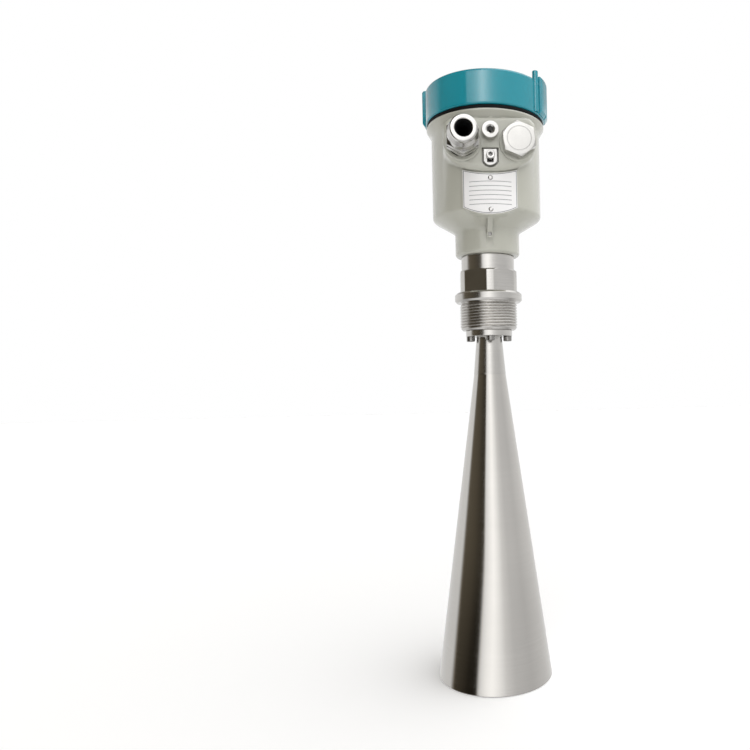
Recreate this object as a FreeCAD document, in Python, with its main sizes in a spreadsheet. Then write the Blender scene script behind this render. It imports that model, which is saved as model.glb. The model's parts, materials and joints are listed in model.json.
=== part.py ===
import FreeCAD, Part
import Sketcher
import math
import os

# Radar level meter with a horn antenna. Lengths in millimetres.
# Origin: centre of the sealing face above the process thread. +Z runs up the axis, the cable entries face -Y.

os.makedirs("parts", exist_ok=True)
doc = FreeCAD.newDocument("level_meter")
Vector = FreeCAD.Vector
ROOT3 = math.sqrt(3.0)

DRIVING = (
    # process fitting
    ("thread_radius", 23.9),
    ("thread_length", 23.1),
    ("thread_chamfer", 1.5),
    ("collar_radius", 28.0),
    ("collar_height", 8.0),
    ("collar_chamfer", 1.6),
    ("hex_flats", 46.0),
    ("hex_bar_radius", 25.0),
    ("hex_height", 18.0),
    ("hex_chamfer", 1.2),
    ("spigot_radius", 22.0),
    ("spigot_height", 12.0),
    ("stem_radius", 19.0),
    ("stem_end_radius", 15.0),
    ("stem_end_rise", 5.8),
    ("stem_groove_depth", 2.2),
    ("stem_groove_width", 3.4),
    ("stem_groove_low", 4.5),
    ("stem_groove_high", 15.5),
    ("waveguide_radius", 8.0),
    ("waveguide_bore", 5.0),
    ("slip_fit", 0.15),
    # horn
    ("horn_flange_margin", 0.4),
    ("horn_flange_height", 5.0),
    ("throat_top_radius", 10.5),
    ("throat_end_radius", 13.25),
    ("throat_length", 31.4),
    ("cone_length", 249.5),
    ("cone_mouth_radius", 47.0),
    ("horn_wall", 1.5),
    ("horn_screw_circle", 15.4),
    ("horn_screw_radius", 2.0),
    ("horn_screw_head_radius", 3.5),
    ("horn_screw_head_height", 4.0),
    ("horn_screw_grip", 9.0),
    ("horn_screw_socket", 3.0),
    ("feed_tip_length", 30.0),
    # housing
    ("swivel_gap", 0.2),
    ("neck_radius", 26.75),
    ("neck_height", 19.8),
    ("base_cone_height", 11.0),
    ("body_radius", 45.0),
    ("body_height", 68.5),
    ("flare_height", 6.0),
    ("flare_proud", 3.8),
    ("flare_root_round", 8.0),
    ("flare_edge_round", 0.6),
    ("shoulder_height", 1.5),
    ("top_collar_wall", 4.5),
    ("top_collar_height", 20.0),
    ("housing_wall", 4.0),
    ("floor_rise", 1.0),
    ("ledge_thickness", 8.0),
    ("body_edge_round", 4.0),
    ("neck_edge_round", 2.6),
    ("block_proud", 3.5),
    ("block_height", 42.1),
    ("block_drop", 5.0),
    ("web_arc_radius", 58.0),
    ("block_edge_round", 4.0),
    ("block_corner_round", 9.0),
    ("entry_offset", 21.5),
    ("entry_drop", 20.3),
    ("boss_radius", 14.5),
    ("boss_proud", 1.5),
    ("boss_edge_round", 1.0),
    ("entry_hole_radius", 10.0),
    ("rib_width", 4.0),
    ("rib_foot_proud", 4.25),
    ("rib_foot_height", 11.0),
    ("rib_top_inset", 9.0),
    ("rib_top_drop", 5.4),
    ("lock_screw_height", 13.5),
    ("lock_screw_radius", 1.6),
    ("lock_boss_radius", 2.4),
    # nameplate
    ("plate_half_width", 21.3),
    ("plate_gap", 1.2),
    ("plate_overhang", 5.0),
    ("plate_foot_radius", 40.0),
    ("plate_thickness", 0.6),
    ("plate_pad_height", 0.6),
    ("plate_pad_margin", 0.9),
    ("rivet_radius", 1.25),
    ("rivet_head_radius", 1.9),
    ("rivet_head_height", 0.7),
    ("rivet_inset", 3.4),
    # lid
    ("lid_seal_height", 2.8),
    ("lid_seal_width", 2.9),
    ("lid_gap", 3.0),
    ("lid_clearance", 0.4),
    ("lid_height", 27.6),
    ("lid_wall", 3.6),
    ("lid_top_thickness", 4.0),
    ("lid_rim_round", 2.2),
    ("lid_foot_round", 0.8),
    ("grip_angle", 51.5),
    ("post_radius", 2.35),
    ("post_inset", 0.2),
    ("post_rise", 5.9),
    ("lug_angle", 72.0),
    ("lug_width", 26.0),
    ("lug_proud", 2.7),
    ("lug_rise", 3.2),
    ("lug_groove", 2.4),
    # cable entries
    ("gland_flats", 24.0),
    ("gland_washer_height", 1.0),
    ("gland_washer_radius", 11.6),
    ("gland_collar_height", 3.2),
    ("gland_collar_radius", 11.2),
    ("gland_hex_height", 5.0),
    ("gland_thread_radius", 9.85),
    ("gland_thread_length", 9.5),
    ("gland_neck_length", 10.0),
    ("gland_bore", 6.9),
    ("nut_gap", 1.0),
    ("nut_hex_height", 5.0),
    ("nut_radius", 11.9),
    ("nut_length", 19.2),
    ("nut_nose_radius", 9.9),
    ("nut_nose_length", 3.6),
    ("nut_opening", 6.4),
    ("nut_edge_round", 3.0),
    ("cable_radius", 4.0),
    ("plug_hex_height", 3.6),
    ("plug_head_height", 7.5),
    ("plug_face_radius", 12.2),
    ("breather_drop", 12.1),
    ("breather_head_radius", 6.5),
    ("breather_head_height", 5.2),
    ("breather_socket", 5.0),
    ("breather_shank_radius", 3.9),
    ("breather_shank_length", 6.0),
    ("breather_washer_height", 0.8),
    # outer earth terminal
    ("earth_slot_width", 13.1),
    ("earth_slot_margin", 1.3),
    ("earth_slot_depth", 4.0),
    ("earth_width", 10.5),
    ("earth_drop", 25.5),
    ("earth_length", 12.5),
    ("earth_thickness", 4.8),
    ("earth_notch_width", 4.6),
    ("earth_notch_depth", 2.4),
    ("earth_screw_drop", 5.0),
    ("earth_screw_radius", 1.9),
    ("earth_screw_head_radius", 3.4),
    ("earth_screw_head_height", 3.4),
    ("earth_screw_socket", 3.0),
    ("earth_screw_grip", 2.4),
    # inside
    ("module_clearance", 2.5),
    ("module_height", 34.0),
    ("module_recess_margin", 7.0),
    ("module_recess_height", 8.0),
    ("pillar_radius", 11.0),
    ("pillar_height", 24.0),
    ("module_screw_offset", 31.0),
    ("terminal_width", 36.0),
    ("terminal_depth", 12.0),
    ("terminal_height", 11.0),
    ("terminal_inset", 8.5),
    ("terminal_pitch", 8.4),
    ("wire_hole_radius", 2.2),
    ("terminal_screw_radius", 2.3),
    ("inner_boss_width", 10.0),
    ("inner_boss_rise", 2.2),
    ("inner_boss_depth", 9.0),
    ("adjuster_radius", 30.0),
    ("adjuster_height", 14.0),
    ("screen_width", 42.0),
    ("screen_depth", 22.0),
    ("screen_thickness", 2.0),
    ("screen_shift", 7.0),
    ("key_width", 8.0),
    ("key_depth", 7.0),
    ("key_height", 4.0),
    ("key_proud", 1.4),
    ("key_pitch", 10.5),
    ("key_row", 15.0),
)

sheet = doc.addObject("Spreadsheet::Sheet", "Sizes")
for row, (alias, number) in enumerate(DRIVING, start=1):
    sheet.set("A%d" % row, alias)
    sheet.set("B%d" % row, str(number))
    sheet.setAlias("B%d" % row, alias)
doc.recompute()


class Size:
    # A length that keeps its value and the sheet expression that it comes from.
    def __init__(self, value, text):
        self.value = float(value)
        self.text = text

    def __add__(self, other):
        other = as_size(other)
        return Size(self.value + other.value, "(%s + %s)" % (self.text, other.text))

    def __sub__(self, other):
        other = as_size(other)
        return Size(self.value - other.value, "(%s - %s)" % (self.text, other.text))

    def __mul__(self, other):
        other = as_size(other)
        return Size(self.value * other.value, "(%s * %s)" % (self.text, other.text))

    def __truediv__(self, other):
        other = as_size(other)
        return Size(self.value / other.value, "(%s / %s)" % (self.text, other.text))

    def __neg__(self):
        return Size(-self.value, "(0 - %s)" % self.text)

    def root(self):
        return Size(math.sqrt(self.value), "sqrt(%s)" % self.text)

    def cosine(self):
        return Size(math.cos(math.radians(self.value)), "cos(%s * 1 deg)" % self.text)

    def sine(self):
        return Size(math.sin(math.radians(self.value)), "sin(%s * 1 deg)" % self.text)


def as_size(number):
    return number if isinstance(number, Size) else Size(number, "%.6f" % number)


class Sizes:
    pass


s = Sizes()
for row, (alias, number) in enumerate(DRIVING, start=1):
    setattr(s, alias, Size(sheet.get("B%d" % row), "Sizes." + alias))
zero = Size(0.0, "0")


def bind(obj, **lengths):
    for prop, length in lengths.items():
        obj.setExpression(prop, as_size(length).text)
    return obj


def place(obj, x=None, y=None, z=None, turn=None):
    # turn is a rotation about the object's own origin; the position follows the sheet.
    obj.Placement = FreeCAD.Placement(Vector(0, 0, 0), turn or FreeCAD.Rotation())
    for axis, length in (("x", x), ("y", y), ("z", z)):
        if length is not None:
            obj.setExpression("Placement.Base." + axis, as_size(length).text)
    return obj


# Turns an object built along +Z so that it points out of the front of the housing.
FORWARD = FreeCAD.Rotation(Vector(1, 0, 0), 90)


def sketch_on(body, name, role):
    sketch = body.newObject("Sketcher::SketchObject", name)
    plane = [item for item in body.Origin.OriginFeatures if item.Role == role][0]
    sketch.AttachmentSupport = [(plane, "")]
    sketch.MapMode = "FlatFace"
    return sketch


def corner_at(sketch, index, point):
    for kind, length, axis in (("DistanceX", point[0], -2), ("DistanceY", point[1], -1)):
        if length.text == "0":
            sketch.addConstraint(Sketcher.Constraint("PointOnObject", index, 1, axis))
        else:
            found = sketch.addConstraint(Sketcher.Constraint(kind, -1, 1, index, 1, length.value))
            sketch.setExpression("Constraints[%d]" % found, length.text)


def outline(sketch, points):
    # points: (u, v) or (u, v, centre_u, centre_v, radius, counterclockwise) for an arc to the next point.
    points = [tuple(as_size(v) if not isinstance(v, bool) else v for v in point) for point in points]
    count = len(points)
    for index, point in enumerate(points):
        after = points[(index + 1) % count]
        start = Vector(point[0].value, point[1].value, 0)
        end = Vector(after[0].value, after[1].value, 0)
        if len(point) == 2:
            sketch.addGeometry(Part.LineSegment(start, end), False)
            continue
        centre = Vector(point[2].value, point[3].value, 0)
        first = math.atan2(start.y - centre.y, start.x - centre.x)
        last = math.atan2(end.y - centre.y, end.x - centre.x)
        circle = Part.Circle(centre, Vector(0, 0, 1), point[4].value)
        if point[5]:
            sketch.addGeometry(Part.ArcOfCircle(circle, first, last), False)
        else:
            sketch.addGeometry(Part.ArcOfCircle(circle, last, first), False)
    flipped = [len(point) > 2 and not point[5] for point in points]
    for index in range(count):
        nxt = (index + 1) % count
        tail = 1 if flipped[index] else 2
        head = 2 if flipped[nxt] else 1
        sketch.addConstraint(Sketcher.Constraint("Coincident", index, tail, nxt, head))
    for index, point in enumerate(points):
        if flipped[index]:
            before = (index - 1) % count
            corner_end_at(sketch, before, 1 if flipped[before] else 2, point)
        else:
            corner_at(sketch, index, point)
        if len(point) > 2:
            found = sketch.addConstraint(Sketcher.Constraint("Radius", index, point[4].value))
            sketch.setExpression("Constraints[%d]" % found, point[4].text)


def corner_end_at(sketch, index, end, point):
    for kind, length, axis in (("DistanceX", point[0], -2), ("DistanceY", point[1], -1)):
        if length.text == "0":
            sketch.addConstraint(Sketcher.Constraint("PointOnObject", index, end, axis))
        else:
            found = sketch.addConstraint(Sketcher.Constraint(kind, -1, 1, index, end, length.value))
            sketch.setExpression("Constraints[%d]" % found, length.text)


def turned(name, profile):
    # A solid of revolution about Z from (radius, height) corners.
    body = doc.addObject("PartDesign::Body", name)
    sketch = sketch_on(body, name + "_profile", "XZ_Plane")
    outline(sketch, profile)
    spin = body.newObject("PartDesign::Revolution", name + "_spin")
    spin.Profile = sketch
    spin.ReferenceAxis = (sketch, ["V_Axis"])
    spin.Angle = 360
    body.Tip = spin
    sketch.Visibility = False
    return body


def padded(name, role, points, length, offset=None):
    # A prism of the outline, along the plane's normal (-Y for XZ, +Z for XY, +X for YZ).
    body = doc.addObject("PartDesign::Body", name)
    sketch = sketch_on(body, name + "_outline", role)
    outline(sketch, points)
    if offset is not None:
        sketch.setExpression("AttachmentOffset.Base.z", as_size(offset).text)
    pad = body.newObject("PartDesign::Pad", name + "_pad")
    pad.Profile = sketch
    pad.setExpression("Length", as_size(length).text)
    body.Tip = pad
    sketch.Visibility = False
    return body


def rounded(body, name, radius, chosen):
    # Rounds the edges of a body that the test picks.
    doc.recompute()
    base = body.Tip
    edges = ["Edge%d" % (n + 1) for n, edge in enumerate(base.Shape.Edges) if chosen(edge)]
    fillet = body.newObject("PartDesign::Fillet", name)
    fillet.Base = (base, edges)
    fillet.setExpression("Radius", radius.text)
    body.Tip = fillet
    return body


def ring_edge(radius, height):
    # Picks the circle of that radius at that height.
    def chosen(edge):
        if not hasattr(edge.Curve, "Radius"):
            return False
        near = abs(edge.Curve.Radius - radius.value) < 0.01
        return near and abs(edge.Curve.Center.z - height.value) < 0.01
    return chosen


def cylinder(name, radius, height, x=None, y=None, z=None, turn=None):
    obj = bind(doc.addObject("Part::Cylinder", name), Radius=radius, Height=height)
    return place(obj, x, y, z, turn)


def box(name, width, depth, height, x, y, z):
    # A box centred on x, from y backwards and from z upwards.
    obj = bind(doc.addObject("Part::Box", name), Length=width, Width=depth, Height=height)
    return place(obj, x - width / 2, y, z)


def prism(name, flats, height, x=None, y=None, z=None, turn=None):
    # A hexagonal prism with a corner on its own X axis.
    obj = doc.addObject("Part::Prism", name)
    obj.Polygon = 6
    bind(obj, Circumradius=flats / ROOT3, Height=height)
    return place(obj, x, y, z, turn)


def cut(name, base, *tools):
    if len(tools) > 1:
        tool = doc.addObject("Part::MultiFuse", name + "_tools")
        tool.Shapes = list(tools)
    else:
        tool = tools[0]
    obj = doc.addObject("Part::Cut", name)
    obj.Base = base
    obj.Tool = tool
    return obj


def fuse(name, *pieces):
    obj = doc.addObject("Part::MultiFuse", name)
    obj.Shapes = list(pieces)
    return obj


def common(name, first, second):
    obj = doc.addObject("Part::Common", name)
    obj.Base = first
    obj.Tool = second
    return obj


def flats_ring(name, flats, bar_radius, height, z, turn=None):
    # The stock that is milled away round a hexagon.
    stock = cylinder(name + "_stock", bar_radius * 1.3, height, z=z)
    core = prism(name + "_core", flats, height, z=z, turn=turn)
    return cut(name, stock, core)


def copies(name, source, placements):
    # Several equal pieces as one node.
    doc.recompute()
    shapes = []
    for placement in placements:
        shape = source.Shape.copy()
        shape.Placement = placement.multiply(shape.Placement)
        shapes.append(shape)
    obj = doc.addObject("Part::Feature", name)
    obj.Shape = Part.makeCompound(shapes)
    return obj


def moved(obj, x=None, y=None, z=None, turn=None):
    return place(obj, x, y, z, turn)


nodes = []


def node(name, obj):
    obj.Label = name
    nodes.append(obj)
    return obj


TWELFTH = FreeCAD.Rotation(Vector(0, 0, 1), 30)

# Process fitting: thread, sealing collar, hexagon, spigot and stem in one turned piece.
collar_top = s.collar_height
hex_top = collar_top + s.hex_height
seat = hex_top + s.spigot_height
neck_low = seat + s.swivel_gap
neck_top = neck_low + s.neck_height
body_low = neck_top + s.base_cone_height
floor = body_low + s.floor_rise
ledge_low = floor - s.ledge_thickness
stem_top = ledge_low - s.swivel_gap
stem_end = floor + s.stem_end_rise
thread_end = -s.thread_length
bore = s.waveguide_radius + s.slip_fit
groove_root = s.stem_radius - s.stem_groove_depth
low_groove = seat + s.stem_groove_low
high_groove = seat + s.stem_groove_high
clip_low = floor + s.swivel_gap
clip_high = clip_low + s.thread_chamfer
clip_root = s.stem_end_radius - s.thread_chamfer * 0.8
feed_groove_inner = bore + 1.2
feed_groove_outer = feed_groove_inner + s.feed_tip_length * 0.06
feed_groove_depth = s.feed_tip_length * 0.045

fitting_turned = turned("fitting_turned", [
    (bore, thread_end),
    (feed_groove_inner, thread_end),
    (feed_groove_inner, thread_end + feed_groove_depth),
    (feed_groove_outer, thread_end + feed_groove_depth),
    (feed_groove_outer, thread_end),
    (s.thread_radius - s.thread_chamfer, thread_end),
    (s.thread_radius, thread_end + s.thread_chamfer),
    (s.thread_radius, zero),
    (s.collar_radius - s.collar_chamfer, zero),
    (s.collar_radius, s.collar_chamfer),
    (s.collar_radius, collar_top - s.collar_chamfer),
    (s.collar_radius - s.collar_chamfer, collar_top),
    (s.hex_bar_radius, collar_top),
    (s.hex_bar_radius, hex_top - s.hex_chamfer),
    (s.hex_bar_radius - s.hex_chamfer, hex_top),
    (s.spigot_radius, hex_top),
    (s.spigot_radius, seat),
    (s.stem_radius, seat),
    (s.stem_radius, low_groove),
    (groove_root, low_groove),
    (groove_root, low_groove + s.stem_groove_width),
    (s.stem_radius, low_groove + s.stem_groove_width),
    (s.stem_radius, high_groove),
    (groove_root, high_groove),
    (groove_root, high_groove + s.stem_groove_width),
    (s.stem_radius, high_groove + s.stem_groove_width),
    (s.stem_radius, stem_top),
    (s.stem_end_radius, stem_top),
    (s.stem_end_radius, clip_low),
    (clip_root, clip_low),
    (clip_root, clip_high),
    (s.stem_end_radius, clip_high),
    (s.stem_end_radius, stem_end),
    (bore, stem_end),
])
fitting_flats = flats_ring("fitting_flats", s.hex_flats, s.hex_bar_radius, s.hex_height, collar_top, TWELFTH)
hole_depth = s.horn_screw_grip - s.horn_flange_height + 1.5


def on_circle(radius, count, start=0.0):
    return [
        FreeCAD.Placement(
            Vector(0, 0, 0), FreeCAD.Rotation(Vector(0, 0, 1), start + 360.0 * n / count)
        )
        for n in range(count)
    ]


horn_tap = cylinder("horn_tap", s.horn_screw_radius + 0.05, hole_depth, x=s.horn_screw_circle, z=thread_end)
horn_taps = copies("horn_taps", horn_tap, on_circle(s.horn_screw_circle, 4, 90.0))
node("process_fitting", cut("process_fitting", fitting_turned, fitting_flats, horn_taps))

# Horn throat: flange and first part of the flare.
flange_low = thread_end - s.horn_flange_height
flange_radius = s.horn_screw_circle + s.horn_screw_head_radius + s.horn_flange_margin
throat_low = flange_low - s.throat_length
mouth = throat_low - s.cone_length
throat_turned = turned("throat_turned", [
    (s.waveguide_bore, thread_end),
    (flange_radius - s.hex_chamfer / 2, thread_end),
    (flange_radius, thread_end - s.hex_chamfer / 2),
    (flange_radius, flange_low + s.hex_chamfer / 2),
    (flange_radius - s.hex_chamfer / 2, flange_low),
    (s.throat_top_radius, flange_low),
    (s.throat_end_radius, throat_low),
    (s.throat_end_radius - s.horn_wall, throat_low),
    (s.waveguide_bore, flange_low),
])
horn_hole = cylinder(
    "horn_hole", s.horn_screw_radius + s.slip_fit, s.horn_flange_height, x=s.horn_screw_circle, z=flange_low
)
horn_holes = copies("horn_holes", horn_hole, on_circle(s.horn_screw_circle, 4, 90.0))
node("horn_throat", cut("horn_throat", throat_turned, horn_holes))

# Horn cone: sheet of even wall from the throat to the mouth.
node("horn_cone", turned("horn_cone", [
    (s.throat_end_radius - s.horn_wall, throat_low),
    (s.throat_end_radius, throat_low),
    (s.cone_mouth_radius, mouth),
    (s.cone_mouth_radius - s.horn_wall, mouth),
]))


def cap_screw(name, head_radius, head_height, socket, shank_radius, grip):
    # Socket head screw along Z: the head stands below zero, the shank goes up.
    blank = turned(name + "_blank", [
        (zero, -head_height),
        (head_radius - head_height * 0.1, -head_height),
        (head_radius, -head_height * 0.9),
        (head_radius, zero),
        (shank_radius, zero),
        (shank_radius, grip),
        (zero, grip),
    ])
    key = prism(name + "_socket", socket, head_height * 0.6, z=-head_height)
    return cut(name + "_one", blank, key)


horn_screw = cap_screw(
    "horn_screw", s.horn_screw_head_radius, s.horn_screw_head_height,
    s.horn_screw_socket, s.horn_screw_radius, s.horn_screw_grip,
)
moved(horn_screw, x=s.horn_screw_circle, z=flange_low)
node("horn_screws", copies("horn_screws", horn_screw, on_circle(s.horn_screw_circle, 4, 90.0)))

# Feed cone of the horn, its seal, and the waveguide tube above it.
feed_radius = s.waveguide_bore - s.slip_fit
node("feed_cone", turned("feed_cone", [
    (zero, thread_end),
    (feed_radius, thread_end),
    (feed_radius, flange_low),
    (zero, flange_low - s.feed_tip_length),
]))
node("feed_seal", turned("feed_seal", [
    (feed_groove_inner + s.slip_fit, thread_end),
    (feed_groove_outer - s.slip_fit, thread_end),
    (feed_groove_outer - s.slip_fit, thread_end + feed_groove_depth * 0.9),
    (feed_groove_inner + s.slip_fit, thread_end + feed_groove_depth * 0.9),
]))
guide_top = floor + s.module_recess_height + s.waveguide_bore
node("waveguide_tube", turned("waveguide_tube", [
    (s.waveguide_bore, thread_end),
    (s.waveguide_radius, thread_end),
    (s.waveguide_radius, guide_top),
    (s.waveguide_bore, guide_top),
]))


def neck_seal(name, low):
    return turned(name, [
        (groove_root + s.slip_fit, low + s.slip_fit),
        (s.stem_radius - s.slip_fit, low + s.slip_fit),
        (s.stem_radius - s.slip_fit, low + s.stem_groove_width - s.slip_fit),
        (groove_root + s.slip_fit, low + s.stem_groove_width - s.slip_fit),
    ])


stem_seal_pair = fuse("stem_seals", neck_seal("low_seal", low_groove), neck_seal("high_seal", high_groove))
node("stem_seals", stem_seal_pair)
node("retaining_ring", turned("retaining_ring", [
    (clip_root + s.slip_fit, clip_low + s.slip_fit),
    (s.stem_end_radius + s.thread_chamfer * 2.5, clip_low + s.slip_fit),
    (s.stem_end_radius + s.thread_chamfer * 2.5, clip_high - s.slip_fit),
    (clip_root + s.slip_fit, clip_high - s.slip_fit),
]))

# Housing casting.
flare_low = body_low + s.body_height
flare_top = flare_low + s.flare_height
shoulder = flare_top + s.shoulder_height
collar_end = shoulder + s.top_collar_height
cavity = s.body_radius - s.housing_wall
shoulder_radius = s.body_radius + s.flare_proud
top_collar_radius = cavity + s.top_collar_wall
neck_bore = s.stem_radius + s.slip_fit
ledge_bore = s.stem_end_radius + s.slip_fit

shell = turned("shell", [
    (zero, neck_low),
    (s.neck_radius, neck_low),
    (s.neck_radius, neck_top),
    (s.body_radius, body_low),
    (s.body_radius, flare_low),
    (shoulder_radius, flare_top),
    (shoulder_radius, shoulder),
    (top_collar_radius, shoulder),
    (top_collar_radius, collar_end),
    (zero, collar_end),
])
rounded(shell, "shell_base_edge", s.body_edge_round, ring_edge(s.body_radius, body_low))
rounded(shell, "shell_neck_edge", s.neck_edge_round, ring_edge(s.neck_radius, neck_low))
rounded(shell, "shell_neck_root", s.body_edge_round, ring_edge(s.neck_radius, neck_top))
rounded(shell, "shell_flare_root", s.flare_root_round, ring_edge(s.body_radius, flare_low))
rounded(shell, "shell_flare_edge", s.flare_edge_round, ring_edge(shoulder_radius, flare_top))
rounded(shell, "shell_shoulder_edge", s.flare_edge_round, ring_edge(shoulder_radius, shoulder))

# Cable entry block: a web arc below, corner arcs round the two entries, rounded shoulders under the flare.
block_reach = s.body_radius + s.block_proud
boss_reach = block_reach + s.boss_proud
block_high = flare_top - s.block_drop
block_low = block_high - s.block_height
entry_z = block_high - s.entry_drop
half_block = s.entry_offset + s.boss_radius
arc_centre = block_low + s.web_arc_radius
inner_run = s.web_arc_radius - s.boss_radius
corner_drop = (inner_run * inner_run - s.entry_offset * s.entry_offset).root()
corner_z = arc_centre - corner_drop
touch_x = s.entry_offset * s.web_arc_radius / inner_run
touch_z = arc_centre - corner_drop * s.web_arc_radius / inner_run
corner_in = half_block - s.block_corner_round
corner_high = block_high - s.block_corner_round
block = padded("block", "XZ_Plane", [
    (-touch_x, touch_z, zero, arc_centre, s.web_arc_radius, True),
    (touch_x, touch_z, s.entry_offset, corner_z, s.boss_radius, True),
    (half_block, corner_z),
    (half_block, corner_high, corner_in, corner_high, s.block_corner_round, True),
    (corner_in, block_high),
    (-corner_in, block_high, -corner_in, corner_high, s.block_corner_round, True),
    (-half_block, corner_high),
    (-half_block, corner_z, -s.entry_offset, corner_z, s.boss_radius, True),
], block_reach)


def front_edge(reach):
    def chosen(edge):
        return all(abs(vertex.Y + reach.value) < 0.01 for vertex in edge.Vertexes)
    return chosen


rounded(block, "block_front_edge", s.block_edge_round, front_edge(block_reach))


def entry_boss(name, x):
    body = turned(name, [
        (zero, zero),
        (s.boss_radius, zero),
        (s.boss_radius, boss_reach),
        (zero, boss_reach),
    ])
    rounded(body, name + "_edge", s.boss_edge_round, ring_edge(s.boss_radius, boss_reach))
    return moved(body, x=x, z=entry_z, turn=FORWARD)


left_boss = entry_boss("left_boss", -s.entry_offset)
right_boss = entry_boss("right_boss", s.entry_offset)

# Rib between neck and base, with the boss of the locking screw at its foot.
lock_z = neck_low + s.lock_screw_height
rib_foot_reach = s.neck_radius + s.rib_foot_proud
rib_top_reach = s.body_radius - s.rib_top_inset
rib_top_z = body_low - s.rib_top_drop
rib = padded("rib", "YZ_Plane", [
    (zero, neck_low + s.rib_foot_height),
    (-rib_foot_reach, neck_low + s.rib_foot_height),
    (-rib_foot_reach, neck_low + s.rib_foot_height + s.rib_width),
    (-rib_top_reach, rib_top_z),
    (zero, rib_top_z),
], s.rib_width, offset=-s.rib_width / 2)
lock_boss = cylinder("lock_boss", s.lock_boss_radius, rib_foot_reach, z=lock_z, turn=FORWARD)

# Raised seat of the nameplate: its upper edge follows the web above it, its foot is a tighter arc.


def shield(name, half_width, low, high, length):
    foot = s.plate_foot_radius
    head = s.web_arc_radius
    foot_corner = low + foot - (foot * foot - half_width * half_width).root()
    head_corner = high + head - (head * head - half_width * half_width).root()
    return padded(name, "XZ_Plane", [
        (-half_width, foot_corner, zero, low + foot, foot, True),
        (half_width, foot_corner),
        (half_width, head_corner, zero, high + head, head, False),
        (-half_width, head_corner),
    ], length)


plate_low = body_low - s.plate_overhang
plate_high = block_low - s.plate_gap
pad_radius = s.body_radius + s.plate_pad_height
seat_block = shield(
    "seat_block", s.plate_half_width + s.plate_pad_margin, plate_low - s.plate_pad_margin,
    plate_high + s.plate_pad_margin, s.body_radius * 1.2,
)
seat_round = cylinder("seat_round", pad_radius, s.body_radius * 2, z=neck_low)
plate_seat = common("plate_seat", seat_block, seat_round)

# Boss for the inner earth screw on the back wall.
module_top = floor + s.module_height
inner_boss_low = module_top + s.inner_boss_rise
inner_boss = box(
    "inner_boss", s.inner_boss_width, s.inner_boss_depth + s.housing_wall / 2, s.terminal_depth,
    zero, cavity - s.inner_boss_depth, inner_boss_low,
)

hollow = turned("hollow", [
    (zero, neck_low),
    (neck_bore, neck_low),
    (neck_bore, ledge_low),
    (ledge_bore, ledge_low),
    (ledge_bore, floor),
    (cavity, floor),
    (cavity, collar_end),
    (zero, collar_end),
])
breather_z = block_high - s.breather_drop
outer_form = fuse("outer_form", shell, block, left_boss, right_boss, rib, lock_boss, plate_seat)
entry_reach = boss_reach + s.housing_wall
left_hole = cylinder(
    "left_hole", s.entry_hole_radius, entry_reach, x=-s.entry_offset, z=entry_z, turn=FORWARD
)
right_hole = cylinder(
    "right_hole", s.entry_hole_radius, entry_reach, x=s.entry_offset, z=entry_z, turn=FORWARD
)
breather_hole = cylinder(
    "breather_hole", s.breather_shank_radius + s.slip_fit / 2, entry_reach, z=breather_z, turn=FORWARD
)
lock_hole = cylinder("lock_hole", s.lock_screw_radius + s.slip_fit / 2, boss_reach, z=lock_z, turn=FORWARD)


def tongue(name, half, low, high, length):
    # A plate outline with a square head and a round foot, standing on the floor of the earth slot.
    arc = half * 1.12
    arc_z = low + arc
    corner = arc_z - (arc * arc - half * half).root()
    return padded(name, "XZ_Plane", [
        (-half, high),
        (-half, corner, zero, arc_z, arc, True),
        (half, corner),
        (half, high),
    ], length, offset=slot_floor)


earth_high = block_high - s.earth_drop
earth_low = earth_high - s.earth_length
slot_floor = block_reach - s.earth_slot_depth
earth_slot = tongue(
    "earth_slot", s.earth_slot_width / 2, earth_low - s.earth_slot_margin,
    earth_high + s.earth_slot_margin, s.earth_slot_depth * 2,
)
earth_z = earth_high - s.earth_screw_drop
earth_hole = cylinder(
    "earth_hole", s.earth_screw_radius + s.slip_fit / 2, s.earth_screw_grip + s.earth_slot_depth,
    y=-slot_floor + s.earth_screw_grip, z=earth_z, turn=FORWARD,
)
low_rivet_z = plate_low + s.rivet_inset
high_rivet_z = plate_high - s.rivet_inset
rivet_depth = s.housing_wall / 2
rivet_foot = s.body_radius - rivet_depth
rivet_hole_radius = s.rivet_radius + s.slip_fit / 3
low_rivet_hole = cylinder(
    "low_rivet_hole", rivet_hole_radius, s.body_radius, y=-rivet_foot, z=low_rivet_z, turn=FORWARD
)
high_rivet_hole = cylinder(
    "high_rivet_hole", rivet_hole_radius, rivet_depth * 2, y=-rivet_foot, z=high_rivet_z, turn=FORWARD
)
casting = cut(
    "casting", outer_form, hollow, left_hole, right_hole, breather_hole, lock_hole, earth_slot,
    earth_hole, low_rivet_hole, high_rivet_hole,
)
module_tap_depth = s.ledge_thickness * 0.6
module_tap = cylinder(
    "module_tap", s.horn_screw_radius + s.slip_fit / 3, module_tap_depth,
    x=s.module_screw_offset, z=floor - module_tap_depth,
)
module_taps = copies("module_taps", module_tap, on_circle(s.module_screw_offset, 2))
earth_tap_y = cavity - s.inner_boss_depth / 2
inner_tap = cylinder(
    "inner_tap", s.horn_screw_radius + s.slip_fit / 3, s.terminal_depth * 0.8,
    y=earth_tap_y, z=inner_boss_low + s.terminal_depth * 0.2,
)
cast_with_boss = fuse("cast_with_boss", casting, inner_boss)
node("housing", cut("housing", cast_with_boss, module_taps, inner_tap))

# Nameplate and its rivets.
plate_face = pad_radius + s.plate_thickness
plate_block = shield(
    "plate_block", s.plate_half_width, plate_low, plate_high, s.body_radius * 1.2
)
plate_outer = cylinder("plate_outer", plate_face, s.body_radius * 2, z=neck_low)
plate_inner = cylinder("plate_inner", pad_radius + s.slip_fit / 3, s.body_radius * 2, z=neck_low)
plate_tube = cut("plate_tube", plate_outer, plate_inner)
plate_sheet = common("plate_sheet", plate_block, plate_tube)
node("nameplate", cut("nameplate", plate_sheet, low_rivet_hole, high_rivet_hole))


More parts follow.
